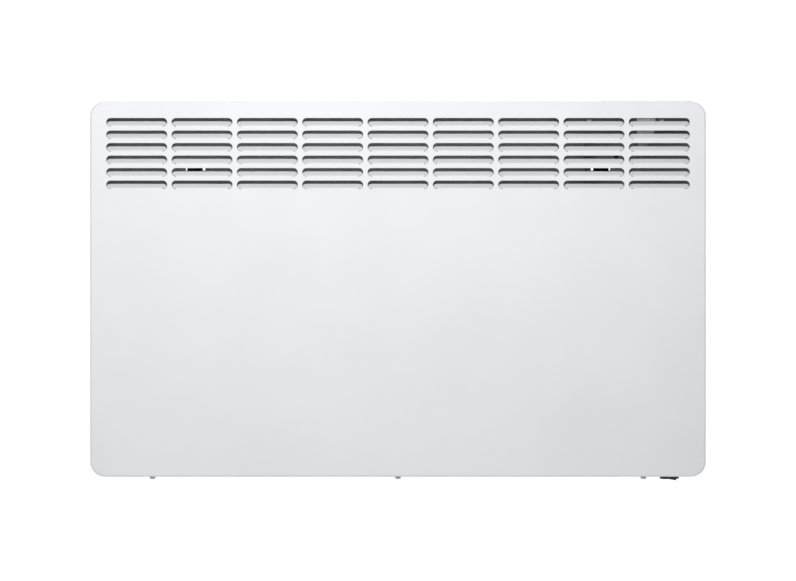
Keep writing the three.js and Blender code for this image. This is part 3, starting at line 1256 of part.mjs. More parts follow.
// The cable gland's body: a flange outside the rear panel and a hollow threaded neck through it.
function glandGeometry() {
  const profile = [
    [GLAND.bore, -GLAND.neck],
    [GLAND.radius, -GLAND.neck],
    [GLAND.radius, -0.1],
    [GLAND_FLANGE.radius, -0.1],
    [GLAND_FLANGE.radius, GLAND_FLANGE.thickness],
    [GLAND_FLANGE.noseRadius, GLAND_FLANGE.reach],
    [GLAND.bore, GLAND_FLANGE.reach],
    [GLAND.bore, -GLAND.neck],
  ].map(([r, y]) => new THREE.Vector2(r, y));
  return new THREE.LatheGeometry(profile, 16);
}

function glandNutGeometry() {
  const nut = alongY(circle(GLAND_NUT.radius), -GLAND_NUT.thickness, 0, 3);
  return cut(nut, rodY(GLAND.radius + TOUCH, -GLAND_NUT.thickness - OVERCUT, OVERCUT, 0, 0, 12));
}

// A plastic saddle that stands on the bottom plate and holds the room sensor.
function sensorClipGeometry() {
  const foot = BOTTOM + SHEET + TOUCH - SENSOR[2];
  const [x, y, mouth] = [PROBE_CLIP.width / 2, PROBE_CLIP.length / 2, PROBE_CLIP.mouth / 2];
  const body = block(-x, x, -y, y, foot, PROBE_CLIP.lip);
  const bore = rodY(PROBE.radius + TOUCH, -y - OVERCUT, y + OVERCUT, 0, 0, 10);
  return cut(body, bore, block(-mouth, mouth, -y - OVERCUT, y + OVERCUT, 0, PROBE_CLIP.lip + OVERCUT));
}

const WIRES = {
  mains_live: { finish: FINISHES.wireBrown, radius: 1.5 },
  switched_live: { finish: FINISHES.wireBrown, radius: 1.5 },
  mains_neutral: { finish: FINISHES.wireBlue, radius: 1.5 },
  earth_lead: { finish: FINISHES.wireGreen, radius: 1.5 },
  element_lead_lower: { finish: FINISHES.wireWhite, radius: 1.6 },
  cutout_lead: { finish: FINISHES.wireWhite, radius: 1.5 },
  element_lead_upper: { finish: FINISHES.wireWhite, radius: 1.5 },
  board_supply_lead: { finish: FINISHES.wireBrown, radius: 1.3 },
  sensor_lead: { finish: FINISHES.ribbonGrey, radius: 1.1 },
};

// The stops of each wire, as the place of the piece it passes and a distance from that place.
function wireStops() {
  const beside = ([x, y, z], right, behind, above) => [x + right, y + behind, z + above];
  const clamp = (column, end) => [
    TERMINAL_X + column * TERMINAL_BLOCK.pitch,
    AGAINST_REAR - TERMINAL_BLOCK.depth / 2,
    TERMINAL_Z + end * (TERMINAL_BLOCK.height / 2 + 1),
  ];
  const switchTab = (side) => [
    SWITCH_X + side * SWITCH_SPADES.offset,
    SWITCH_Y,
    BOTTOM + SWITCH_SPADES.top + 3,
  ];
  const gland = [GLAND_X, REAR_INNER - 15, GLAND_Z];
  const pins = RUN_ZS.map((z) => [TUBE_END + TOUCH + TERMINAL_REACH + 2, CHIMNEY_Y, z]);
  const cutout = [CUTOUT_X, CHIMNEY_Y, CUTOUT_Z + CUTOUT_SPADES.top + 2];
  const hole = [PARTITION_X, CHIMNEY_Y, LEAD_HOLE_Z];
  const board = [POWER_BOARD.x, POWER_BOARD.front, POWER_BOARD.bottom];
  return {
    mains_live: [
      beside(gland, 2.2, 0, -2),
      beside(gland, 6, -14, 4),
      beside(switchTab(-1), 0, 10, 24),
      switchTab(-1),
    ],
    switched_live: [
      switchTab(1),
      beside(switchTab(1), -2, 6, 28),
      beside(clamp(1, -1), 6, -10, -14),
      clamp(1, -1),
    ],
    mains_neutral: [
      beside(gland, -2.2, 0, -2),
      beside(gland, -6, -12, 8),
      beside(clamp(0, -1), 0, -4, -12),
      clamp(0, -1),
    ],
    earth_lead: [
      beside(gland, 0, 0, 2.4),
      beside(gland, 10, -6, 18),
      beside(EARTH_STUD, -4, TOUCH - 12, -16),
      beside(EARTH_STUD, 0, TOUCH - 2, -6),
    ],
    element_lead_lower: [
      pins[0],
      beside(pins[0], 10, 0, 2),
      beside(clamp(-1, 1), -4, -12, 14),
      clamp(-1, 1),
    ],
    cutout_lead: [
      beside(cutout, CUTOUT_SPADES.offset, 0, 0),
      beside(hole, -70, 2, 6),
      beside(hole, 0, 2.6, 0),
      beside(board, -30, -22, -14),
      beside(board, -24, -6, 8),
    ],
    element_lead_upper: [
      beside(cutout, -CUTOUT_SPADES.offset, 0, 0),
      beside(hole, -82, -8, 10),
      beside(hole, 0, -2.6, 0),
      beside(pins[1], 6, -4, 26),
      pins[1],
    ],
    board_supply_lead: [
      clamp(1, 1),
      beside(clamp(1, 1), 2, -4, 14),
      beside(board, 24, -14, -10),
      beside(board, 22, -4, 6),
    ],
    sensor_lead: [
      beside(SENSOR, 0, PROBE.length / 2 + 1, 0),
      beside(SENSOR, -4, 22, 14),
      beside(hole, 12, 12, -14),
      beside(board, -30, -10, 30),
      beside(board, -28, -3, 40),
    ],
  };
}

function addWiring(casing) {
  const relayPlace = [
    POWER_BOARD.x - RELAY.left,
    POWER_BOARD.front - TOUCH - RELAY.size[1] / 2,
    BOTTOM + RELAY.rise,
  ];
  place(casing, "power_board", powerBoardGeometry(), FINISHES.circuitBoard);
  place(casing, "relay", new THREE.BoxGeometry(...RELAY.size), FINISHES.blackPlastic, relayPlace);
  place(casing, "terminal_block", terminalBlockGeometry(), FINISHES.whitePlastic, [
    TERMINAL_X,
    AGAINST_REAR,
    TERMINAL_Z,
  ]);
  place(casing, "switch_body", switchBodyGeometry(), FINISHES.blackPlastic);
  const rocker = place(casing, "switch_rocker", rockerGeometry(), FINISHES.blackPlastic, [
    SWITCH_X,
    SWITCH_Y,
    BOTTOM,
  ]);
  rocker.rotation.y = THREE.MathUtils.degToRad(ROCKER_THROW / 2);
  place(casing, "cable_gland", glandGeometry(), FINISHES.blackPlastic, [GLAND_X, BACK + TOUCH, GLAND_Z]);
  place(casing, "gland_nut", glandNutGeometry(), FINISHES.blackPlastic, [GLAND_X, AGAINST_REAR, GLAND_Z]);
  const { head, headHeight, shank, length } = EARTH_SCREW;
  const stud = screwGeometry(head, headHeight, shank, length).rotateX(-Math.PI / 2);
  place(casing, "earth_screw", stud, FINISHES.zincPlated, EARTH_STUD);
  const probe = rodY(PROBE.radius, -PROBE.length / 2, PROBE.length / 2, 0, 0, 10);
  place(casing, "sensor_probe", probe, FINISHES.blackPlastic, SENSOR);
  place(casing, "sensor_clip", sensorClipGeometry(), FINISHES.whitePlastic, SENSOR);
  for (const [name, stops] of Object.entries(wireStops())) {
    const { finish: coating, radius } = WIRES[name];
    place(casing, name, wireAlong(stops, radius), coating);
  }
}

const casing = new THREE.Group();
heater.add(casing);
addBracket();
addCasing(casing);
addElement(casing);
addControl(casing);
addWiring(casing);

export default heater;
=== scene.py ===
"""The looks of a wall-hung electric panel convector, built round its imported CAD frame.

Metres, in the CAD frame: the casing's front faces -Y, +X is to the right, +Z is up.
"""
import json
import math

import bmesh
import bpy
from mathutils import Matrix, Vector


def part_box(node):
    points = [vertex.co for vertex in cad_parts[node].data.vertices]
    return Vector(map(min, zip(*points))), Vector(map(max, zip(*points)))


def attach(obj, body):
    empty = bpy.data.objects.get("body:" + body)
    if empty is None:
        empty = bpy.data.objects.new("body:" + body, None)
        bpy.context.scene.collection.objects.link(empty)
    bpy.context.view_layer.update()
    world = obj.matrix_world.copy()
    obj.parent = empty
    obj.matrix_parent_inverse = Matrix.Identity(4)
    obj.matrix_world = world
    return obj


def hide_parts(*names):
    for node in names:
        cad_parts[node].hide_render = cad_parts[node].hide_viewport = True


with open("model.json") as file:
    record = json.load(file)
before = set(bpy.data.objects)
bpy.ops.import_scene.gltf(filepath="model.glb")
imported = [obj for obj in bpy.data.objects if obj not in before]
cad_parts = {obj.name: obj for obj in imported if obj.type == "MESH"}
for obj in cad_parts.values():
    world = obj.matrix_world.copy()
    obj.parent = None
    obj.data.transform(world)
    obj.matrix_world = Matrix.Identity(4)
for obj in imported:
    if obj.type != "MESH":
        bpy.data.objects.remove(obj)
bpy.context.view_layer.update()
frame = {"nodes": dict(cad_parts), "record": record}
MM = 0.001

# ---------------------------------------------------------------- places read from the frame

cover_low, cover_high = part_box("front_cover")
FRONT, COVER_BACK = cover_low.y, cover_high.y
RIGHT, TOP, BOTTOM = cover_high.x, cover_high.z, cover_low.z

# ---------------------------------------------------------------- sizes of the visible detail

SHEET = 0.8 * MM
CORNER_RADIUS = 18 * MM
CORNER_STEPS = 14
BEND = 2.5 * MM
BEND_STEPS = 5
COVER_BOTTOM_FLANGE = 18 * MM
FLANGE_CUT = RIGHT - CORNER_RADIUS - 1 * MM

SLOT_LENGTH = 73 * MM
SLOT_HEIGHT = 10 * MM
SLOT_GAP_X = 5.3 * MM
SLOT_GAP_Z = 5 * MM
SLOT_PITCH_X = SLOT_LENGTH + SLOT_GAP_X
SLOT_PITCH_Z = SLOT_HEIGHT + SLOT_GAP_Z
LOUVRE_ROWS = 6
LOUVRE_COLUMNS = 9
LOUVRE_TOP = TOP - 20 * MM
TONGUE_LEAN = math.radians(52)
TONGUE_KERF = 0.8 * MM
TONGUE_BEND = 1.8 * MM
HINGE_HALF = 31.2 * MM
NOTCH_RADIUS = 0.45 * MM
HINGE_SHARES = (-1, -0.93, -0.75, -0.5, -0.25, 0, 0.25, 0.5, 0.75, 0.93, 1)
PANEL_LAP = 1.6 * MM


# ---------------------------------------------------------------- node materials

def shader(name, colour, roughness, metallic=0.0, coat=0.0, specular=0.5):
    """A new material with a Principled shader."""
    material = bpy.data.materials.new(name)
    material.use_nodes = True
    tree = material.node_tree
    node = tree.nodes["Principled BSDF"]
    node.inputs["Base Color"].default_value = (*colour, 1)
    node.inputs["Roughness"].default_value = roughness
    node.inputs["Metallic"].default_value = metallic
    node.inputs["Coat Weight"].default_value = coat
    node.inputs["Specular IOR Level"].default_value = specular
    return material


def texture(material, kind, scale, stretch=(1, 1, 1), **values):
    """A texture node in object space. Scale is in cells per metre."""
    tree = material.node_tree
    place = tree.nodes.new("ShaderNodeTexCoord")
    mapping = tree.nodes.new("ShaderNodeMapping")
    mapping.inputs["Scale"].default_value = stretch
    tree.links.new(place.outputs["Object"], mapping.inputs["Vector"])
    node = tree.nodes.new(kind)
    node.inputs["Scale"].default_value = scale
    for key, value in values.items():
        setattr(node, key, value)
    tree.links.new(mapping.outputs["Vector"], node.inputs["Vector"])
    return node


def noise(material, scale, stretch=(1, 1, 1)):
    """The value of a noise texture in object space."""
    return texture(material, "ShaderNodeTexNoise", scale, stretch).outputs["Fac"]


def blend_colour(material, source, low, high, start=0.3, end=0.7):
    """Colours the material between two tones by a texture's value."""
    tree = material.node_tree
    ramp = tree.nodes.new("ShaderNodeValToRGB")
    ramp.color_ramp.elements[0].position = start
    ramp.color_ramp.elements[1].position = end
    ramp.color_ramp.elements[0].color = (*low, 1)
    ramp.color_ramp.elements[1].color = (*high, 1)
    tree.links.new(source, ramp.inputs["Fac"])
    tree.links.new(ramp.outputs["Color"], tree.nodes["Principled BSDF"].inputs["Base Color"])
    return ramp


def vary_roughness(material, source, low, high):
    """Spreads the material's roughness between two values by a texture's value."""
    tree = material.node_tree
    spread = tree.nodes.new("ShaderNodeMapRange")
    spread.inputs["To Min"].default_value = low
    spread.inputs["To Max"].default_value = high
    tree.links.new(source, spread.inputs["Value"])
    tree.links.new(spread.outputs["Result"], tree.nodes["Principled BSDF"].inputs["Roughness"])


def bump(material, source, height, strength=1.0):
    """Raises the surface by a texture's value, on top of any earlier bump."""
    tree = material.node_tree
    node = tree.nodes.new("ShaderNodeBump")
    node.inputs["Strength"].default_value = strength
    node.inputs["Distance"].default_value = height
    tree.links.new(source, node.inputs["Height"])
    target = tree.nodes["Principled BSDF"].inputs["Normal"]
    if target.is_linked:
        tree.links.new(target.links[0].from_socket, node.inputs["Normal"])
    tree.links.new(node.outputs["Normal"], target)


def powder_coat(name, low, high, roughness):
    """Satin powder coat: fine orange peel, with slow shifts of tone and gloss."""
    material = shader(name, high, roughness, specular=0.3)
    cloud = noise(material, 9)
    blend_colour(material, cloud, low, high)
    vary_roughness(material, cloud, roughness - 0.05, roughness + 0.06)
    bump(material, noise(material, 700), 0.03 * MM, 0.5)
    return material


def galvanised(name):
    """Hot-dip zinc: flat crystals of a few millimetres, each with its own tone and gloss. All its
    tones are painted well darker than bare zinc, as painted shade for the casing's shaded inside.
    """
    # painted shade: the base tone is set darker than bare zinc so the inside seen through the
    # louvres reads shaded
    material = shader(name, (0.24, 0.25, 0.26), 0.5, metallic=0.35)
    spangle = texture(material, "ShaderNodeTexVoronoi", 160)
    tree = material.node_tree
    grey = tree.nodes.new("ShaderNodeRGBToBW")
    tree.links.new(spangle.outputs["Color"], grey.inputs["Color"])
    # painted shade: the spangle tones are also darker than bare zinc; only their spread from
    # crystal to crystal is the zinc's own
    blend_colour(material, grey.outputs["Val"], (0.21, 0.22, 0.23), (0.29, 0.3, 0.31), 0.1, 0.9)
    vary_roughness(material, grey.outputs["Val"], 0.42, 0.6)
    bump(material, noise(material, 420), 0.03 * MM, 0.4)
    return material


def plated(name, low, high, roughness, scale=900):
    """Bright plating with fine drawing marks."""
    material = shader(name, high, roughness, metallic=0.95)
    grain = noise(material, scale, stretch=(1, 1, 0.15))
    blend_colour(material, grain, low, high)
    vary_roughness(material, grain, roughness - 0.06, roughness + 0.1)
    bump(material, grain, 0.01 * MM, 0.5)
    return material


def rolled_aluminium(name):
    """Thin aluminium with rolling lines."""
    material = shader(name, (0.78, 0.79, 0.8), 0.38, metallic=0.95)
    lines = noise(material, 500, stretch=(1, 0.06, 1))
    blend_colour(material, lines, (0.62, 0.63, 0.65), (0.84, 0.85, 0.86))
    vary_roughness(material, lines, 0.28, 0.5)
    bump(material, lines, 0.02 * MM, 0.5)
    return material


def tinted_steel(name):
    """Stainless tube that heat has turned straw and blue in bands."""
    material = shader(name, (0.5, 0.47, 0.43), 0.34, metallic=0.95)
    bands = noise(material, 14, stretch=(1, 4, 4))
    ramp = blend_colour(material, bands, (0.42, 0.33, 0.24), (0.55, 0.53, 0.5))
    blue = ramp.color_ramp.elements.new(0.5)
    blue.color = (0.33, 0.34, 0.4, 1)
    vary_roughness(material, bands, 0.28, 0.45)
    bump(material, noise(material, 1200), 0.01 * MM, 0.4)
    return material


def moulded(name, low, high, roughness, grain=0.05 * MM):
    """Moulded plastic with a fine spark-eroded texture."""
    material = shader(name, high, roughness, specular=0.5)
    cloud = noise(material, 60)
    blend_colour(material, cloud, low, high)
    vary_roughness(material, cloud, roughness - 0.05, roughness + 0.06)
    bump(material, noise(material, 1600), grain, 0.6)
    return material


def glossy(name, low, high, roughness, coat):
    """A smooth, coated surface with slow shifts of tone."""
    material = shader(name, high, roughness, coat=coat)
    cloud = noise(material, 90)
    blend_colour(material, cloud, low, high)
    vary_roughness(material, cloud, roughness, roughness + 0.05)
    return material


def circuit_board(name):
    """Solder mask over copper tracks."""
    material = shader(name, (0.03, 0.2, 0.09), 0.35, coat=0.3)
    tracks = texture(material, "ShaderNodeTexBrick", 90)
    blend_colour(material, tracks.outputs["Fac"], (0.02, 0.15, 0.06), (0.08, 0.34, 0.15), 0.2, 0.8)
    bump(material, tracks.outputs["Fac"], 0.04 * MM, 0.8)
    vary_roughness(material, noise(material, 200), 0.28, 0.45)
    return material


def fired_ceramic(name):
    """Unglazed ceramic with a fine speckle."""
    material = shader(name, (0.84, 0.81, 0.74), 0.6)
    speckle = noise(material, 300)
    blend_colour(material, speckle, (0.74, 0.71, 0.64), (0.88, 0.85, 0.79))
    vary_roughness(material, speckle, 0.5, 0.75)
    bump(material, speckle, 0.06 * MM, 0.7)
    return material


def wire_cover(name, low, high):
    """Smooth wire insulation with slight rubbing marks."""
    material = shader(name, high, 0.42)
    marks = noise(material, 220, stretch=(1, 1, 0.3))
    blend_colour(material, marks, low, high)
    vary_roughness(material, marks, 0.34, 0.52)
    bump(material, marks, 0.02 * MM, 0.4)
    return material


def braided(name):
    """Glass-fibre sleeve: a fine crossed braid."""
    material = shader(name, (0.8, 0.78, 0.74), 0.75)
    weave = texture(material, "ShaderNodeTexWave", 420, bands_direction="DIAGONAL")
    blend_colour(material, weave.outputs["Fac"], (0.66, 0.64, 0.6), (0.86, 0.84, 0.8))
    bump(material, weave.outputs["Fac"], 0.1 * MM, 0.8)
    vary_roughness(material, weave.outputs["Fac"], 0.65, 0.85)
    return material


LOOKS = {
    "white_paint": powder_coat("white_powder_coat", (0.80, 0.81, 0.835), (0.83, 0.84, 0.86), 0.46),
    "black_paint": powder_coat("black_dip_coat", (0.018, 0.018, 0.02), (0.03, 0.03, 0.032), 0.42),
    # the galvanised sheet's tones carry painted shade for the casing's inside
    "galvanised": galvanised("galvanised_sheet_darkened_for_shade"),
    "spring_steel": plated("blued_spring_steel", (0.16, 0.17, 0.2), (0.3, 0.31, 0.34), 0.3),
    "zinc_plated": plated("zinc_plate", (0.42, 0.43, 0.45), (0.62, 0.63, 0.66), 0.28),
    "stainless": tinted_steel("heat_tinted_steel"),
    "aluminium": rolled_aluminium("rolled_aluminium"),
    "white_plastic": moulded("white_plastic", (0.78, 0.785, 0.8), (0.82, 0.825, 0.84), 0.42),
    "black_plastic": moulded("black_plastic", (0.012, 0.012, 0.014), (0.025, 0.025, 0.028), 0.45),
    "window": glossy("smoked_window", (0.006, 0.007, 0.008), (0.012, 0.013, 0.015), 0.06, 1.0),
    "display": glossy("display_cell", (0.3, 0.36, 0.32), (0.36, 0.42, 0.38), 0.2, 0.6),
    "circuit_board": circuit_board("circuit_board"),
    "ceramic": fired_ceramic("fired_ceramic"),
    "ribbon": wire_cover("ribbon_grey", (0.36, 0.37, 0.39), (0.5, 0.51, 0.53)),
    "wire_brown": wire_cover("wire_brown", (0.13, 0.05, 0.02), (0.2, 0.08, 0.035)),
    "wire_blue": wire_cover("wire_blue", (0.015, 0.06, 0.28), (0.03, 0.1, 0.4)),
    "wire_green": wire_cover("wire_green", (0.12, 0.3, 0.03), (0.2, 0.42, 0.05)),
    "wire_white": braided("glass_fibre_sleeve"),
}
NODE_SLOTS = {row["node"]: row["material_slot"] for row in frame["record"]["subparts"]}
NODE_BODIES = {
    node: body for body, nodes in frame["record"]["behaviour"]["bodies"].items() for node in nodes
}


# ---------------------------------------------------------------- mesh tools

SHARP = math.radians(32)
EASE_WIDTH = 0.2 * MM
EASE_FROM = math.radians(40)
replaced_nodes = set()


def new_object(name, bm):
    """Links a new object made from the bmesh, which is freed."""
    mesh = bpy.data.meshes.new(name)
    bm.to_mesh(mesh)
    bm.free()
    made = bpy.data.objects.new(name, mesh)
    bpy.context.scene.collection.objects.link(made)
    return made


def shade(piece, weighted=True):
    """Shades a piece smooth up to its sharp edges."""
    mesh = piece.data
    mesh.polygons.foreach_set("use_smooth", [True] * len(mesh.polygons))
    mesh.set_sharp_from_angle(angle=SHARP)
    if weighted:
        modifier = piece.modifiers.new("weighted", "WEIGHTED_NORMAL")
        modifier.keep_sharp = True


def finish_piece(name, bm, node, weighted=True):
    """Turns a bmesh into a shaded piece that stands for a CAD node and rides with it."""
    bmesh.ops.remove_doubles(bm, verts=bm.verts, dist=1e-7)
    bmesh.ops.recalc_face_normals(bm, faces=bm.faces)
    piece = new_object(name, bm)
    shade(piece, weighted)
    slot = NODE_SLOTS[node]
    piece.data.materials.append(LOOKS[slot])
    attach(piece, NODE_BODIES[node])
    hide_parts(node)
    replaced_nodes.add(node)


def finish_mark(name, bm, body, slot):
    """A printed mark that rides with its body and stands for no CAD node."""
    bmesh.ops.recalc_face_normals(bm, faces=bm.faces)
    mark = new_object(name, bm)
    shade(mark, weighted=False)
    mark.data.materials.append(LOOKS[slot])
    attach(mark, body)


def keep_node(name):
    """A CAD node whose shape is right: its edges are eased and it gets its node material."""
    node = frame["nodes"][name]
    mesh = node.data
    mesh.materials.clear()
    mesh.materials.append(LOOKS[NODE_SLOTS[name]])
    ease = node.modifiers.new("ease", "BEVEL")
    ease.width = EASE_WIDTH
    ease.segments = 2
    ease.limit_method = "ANGLE"
    ease.angle_limit = EASE_FROM


def arc(centre, radius, start, end, steps):
    """Points round part of a circle, both ends included. Angles are in degrees."""
    turns = [math.radians(start + (end - start) * i / steps) for i in range(steps + 1)]
    return [(centre[0] + radius * math.cos(t), centre[1] + radius * math.sin(t)) for t in turns]


def fill(bm, loops):
    """Fills the flat region between an outer loop and the holes in it."""
    edges = []
    for loop in loops:
        for a, b in zip(loop, loop[1:] + loop[:1]):
            edges.append(bm.edges.get((a, b)) or bm.edges.new((a, b)))
    bmesh.ops.triangle_fill(bm, use_beauty=True, use_dissolve=False, edges=edges)


def solidify(bm, thickness):
    """Gives an open sheet its thickness, to the side that its normals point away from."""
    holder = new_object("sheet", bm)
    modifier = holder.modifiers.new("solidify", "SOLIDIFY")
    modifier.thickness = thickness
    modifier.offset = -1
    modifier.use_even_offset = True
    modifier.use_quality_normals = True
    solid = bmesh.new()
    solid.from_object(holder, bpy.context.evaluated_depsgraph_get())
    bpy.data.objects.remove(holder)
    return solid


# ---------------------------------------------------------------- front cover

def casing_outline(inset, half_x, half_z, radius, extra_top=(), extra_bottom=()):
    """The casing's outline seen from the front, anticlockwise from the lower right corner."""
    x, z, r = half_x - radius, half_z - radius, radius - inset
    points = arc((x, -z), r, -90, 0, CORNER_STEPS)
    points += arc((x, z), r, 0, 90, CORNER_STEPS)
    points += [(p, half_z - inset) for p in sorted(extra_top, reverse=True)]
    points += arc((-x, z), r, 90, 180, CORNER_STEPS)
    points += arc((-x, -z), r, 180, 270, CORNER_STEPS)
    points += [(p, inset - half_z) for p in sorted(extra_bottom)]
    return points


def louvre_outline():
    """One slot round from its hinge line's right end to its left end, about its middle."""
    half, r = SLOT_LENGTH / 2 - SLOT_HEIGHT / 2, SLOT_HEIGHT / 2
    notch_end = HINGE_HALF + 2 * NOTCH_RADIUS
    notch = arc((HINGE_HALF + NOTCH_RADIUS, -r), NOTCH_RADIUS, 180, 360, 5)[:-1]
    start = math.degrees(math.asin((notch_end - half) / r)) - 90
    right = notch + arc((half, 0), r, start, 90, 14)
    return right + [(-x, z) for x, z in reversed(right)]


def tongue_rows():
    """Distance up the flat tongue and half its width there, row by row from the hinge line."""
    half, r = SLOT_LENGTH / 2 - SLOT_HEIGHT / 2, SLOT_HEIGHT / 2
    inner = r - TONGUE_KERF
    rows = [(0, HINGE_HALF), (TONGUE_KERF / 2, HINGE_HALF)]
    for i in range(13):
        turn = math.radians(-90 + 15 * i)
        rows.append((r + inner * math.sin(turn), half + inner * math.cos(turn)))
    return rows


def bent(distance):
    """Depth behind the face and height of a point this far up the bent tongue."""
    curved = TONGUE_BEND * TONGUE_LEAN
    turn = min(distance / TONGUE_BEND, TONGUE_LEAN)
    depth = TONGUE_BEND * (1 - math.cos(turn))
    height = TONGUE_BEND * math.sin(turn)
    straight = max(distance - curved, 0)
    return depth + straight * math.sin(TONGUE_LEAN), height + straight * math.cos(TONGUE_LEAN)


def add_louvre(bm, x, z):
    """Adds one tongue and returns the loop of its slot in the face."""
    floor = z - SLOT_HEIGHT / 2
    grid = []
    for distance, half in tongue_rows():
        depth, height = bent(distance)
        y, up = FRONT + depth, floor + height
        grid.append([bm.verts.new((x + share * half, y, up)) for share in HINGE_SHARES])
    for low, high in zip(grid, grid[1:]):
        for i in range(len(low) - 1):
            bm.faces.new((low[i], low[i + 1], high[i + 1], high[i]))
    rim = [bm.verts.new((x + px, FRONT, z + pz)) for px, pz in louvre_outline()[1:-1]]
    return grid[0] + rim


def column_place(column):
    """How far right of the cover's middle a column of slots is."""
    return (column - (LOUVRE_COLUMNS - 1) / 2) * SLOT_PITCH_X


def louvre_places():
    """The middle of each slot in the face."""
    for row in range(LOUVRE_ROWS):
        z = LOUVRE_TOP - SLOT_HEIGHT / 2 - row * SLOT_PITCH_Z
        for column in range(LOUVRE_COLUMNS):
            yield column_place(column), z


def in_flange_cut(x, y, z):
    """Whether a place on the cover's edge is where the bottom flange is cut short."""
    return z < BOTTOM + MM and abs(x) < FLANGE_CUT and y > FRONT + COVER_BOTTOM_FLANGE


def make_cover():
    """The pressed cover: its louvred face, rounded edges and cut sides."""
    fascia_low, fascia_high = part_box("control_fascia")
    cut_x = (fascia_low.x + PANEL_LAP, fascia_high.x - PANEL_LAP)
    cut_y = (fascia_low.y + PANEL_LAP, fascia_high.y - PANEL_LAP)
    depths = [FRONT + COVER_BOTTOM_FLANGE, *cut_y, COVER_BACK]
    turns = [math.pi / 2 * i / BEND_STEPS for i in range(BEND_STEPS + 1)]
    rings = [(BEND * (1 - math.sin(t)), FRONT + BEND * (1 - math.cos(t))) for t in turns]
    rings += [(0, depth) for depth in sorted(depths)]
    bm = bmesh.new()
    loops = []
    for inset, y in rings:
        outline = casing_outline(inset, RIGHT, TOP, CORNER_RADIUS, cut_x, (-FLANGE_CUT, FLANGE_CUT))
        loops.append([bm.verts.new((px, y, pz)) for px, pz in outline])
    for near, far in zip(loops, loops[1:]):
        y = (near[0].co.y + far[0].co.y) / 2
        for i in range(len(near)):
            j = (i + 1) % len(near)
            x, z = (near[i].co.x + near[j].co.x) / 2, near[i].co.z
            panel_open = z > TOP - MM and cut_x[0] < x < cut_x[1] and cut_y[0] < y < cut_y[1]
            if not panel_open and not in_flange_cut(x, y, z):
                bm.faces.new((near[i], far[i], far[j], near[j]))
    holes = [add_louvre(bm, x, z) for x, z in louvre_places()]
    fill(bm, [loops[0], *holes])
    bmesh.ops.recalc_face_normals(bm, faces=bm.faces)
    face_part = next(f for f in bm.faces if f.calc_area() > 0 and abs(f.normal.y) > 0.99)
    if face_part.normal.y > 0:
        bmesh.ops.reverse_faces(bm, faces=bm.faces)
    finish_piece("front_cover_shell", solidify(bm, SHEET), "front_cover")


# ---------------------------------------------------------------- shared solid pieces

BEVEL_FROM = math.radians(35)


def add_block(bm, low, high):
    """A box between two corners."""
    centre = (Vector(low) + Vector(high)) / 2
    size = Vector(high) - Vector(low)
    matrix = Matrix.Translation(centre) @ Matrix.Diagonal((*size, 1))
    bmesh.ops.create_cube(bm, size=1, matrix=matrix)


def add_turned(bm, profile, place, axis, steps=40):
    """Turns a profile of (radius, distance along the axis) about an axis through the place."""
    start = Vector(place)
    turn = Vector(axis).to_track_quat("Z", "Y").to_matrix()
    rings = []
    for radius, along in profile:
        ring = []
        for i in range(steps if radius else 1):
            t = 2 * math.pi * i / steps
            spot = Vector((radius * math.cos(t), radius * math.sin(t), along))
            ring.append(bm.verts.new(start + turn @ spot))
        rings.append(ring)
    for near, far in zip(rings, rings[1:]):
        for i in range(steps):
            j = i + 1
            corners = [near[k % len(near)] for k in (i, j)] + [far[k % len(far)] for k in (j, i)]
            unique = list(dict.fromkeys(corners))
            if len(unique) > 2:
                bm.faces.new(unique)
    return rings


def add_ring(bm, place, axis, inner, outer, length, steps=40):
    """A tube along the axis from the place."""
    profile = [(inner, 0), (outer, 0), (outer, length), (inner, length)]
    rings = add_turned(bm, profile, place, axis, steps)
    for i in range(steps):
        j = (i + 1) % steps
        bm.faces.new((rings[3][i], rings[3][j], rings[0][j], rings[0][i]))


def add_peg(bm, place, radius, length, steps):
    """A round peg that stands on the place along +Z."""
    add_turned(bm, [(0, 0), (radius, 0), (radius, length), (0, length)], place, (0, 0, 1), steps)


def bevel_sharp(bm, width, segments=2):
    """Rounds the sharp edges."""
    edges = [
        edge for edge in bm.edges
        if len(edge.link_faces) == 2 and edge.calc_face_angle(0) > BEVEL_FROM
    ]
    shape = {"segments": segments, "profile": 0.6, "clamp_overlap": True}
    bmesh.ops.bevel(bm, geom=edges, offset=width, affect="EDGES", **shape)


def prism(bm, points, low, high, axis="Z"):
    """A closed prism of an outline: points are (x, y) along Z and (y, z) along X."""
    if axis == "Z":
        rings = [[bm.verts.new((a, b, level)) for a, b in points] for level in (low, high)]
    else:
        rings = [[bm.verts.new((level, a, b)) for a, b in points] for level in (low, high)]
    for i in range(len(points)):
        j = (i + 1) % len(points)
        bm.faces.new((rings[0][i], rings[0][j], rings[1][j], rings[1][i]))
    bm.faces.new(rings[0][::-1])
    bm.faces.new(rings[1])


def rounded_outline(centre, width, height, radius, steps=6):
    """A rectangle with round corners."""
    x, y = width / 2 - radius, height / 2 - radius
    points = []
    for i, (sx, sy) in enumerate(((1, -1), (1, 1), (-1, 1), (-1, -1))):
        start = -90 + 90 * i
        points += arc((centre[0] + sx * x, centre[1] + sy * y), radius, start, start + 90, steps)
    return points


def cross_recess(tool, place, axis, size, depth):
    """Adds the cutter for a Phillips recess: two tapered blades that cross."""
    turn = Vector(axis).to_track_quat("Z", "Y").to_matrix().to_4x4()
    thin = size * 0.24
    base = [(-size, -thin), (size, -thin), (size, thin), (-size, thin)]
    top = [(x * 1.08, y * 1.1, 0.3 * depth) for x, y in base]
    foot = [(x * 0.35, y * 0.7, -depth) for x, y in base]
    for angle in (0, math.pi / 2):
        matrix = Matrix.Translation(place) @ turn @ Matrix.Rotation(angle, 4, "Z")
        rows = [[tool.verts.new(matrix @ Vector(p)) for p in ring] for ring in (foot, top)]
        tool.faces.new(rows[0][::-1])
        tool.faces.new(rows[1])
        for i in range(4):
            j = (i + 1) % 4
            tool.faces.new((rows[0][i], rows[0][j], rows[1][j], rows[1][i]))


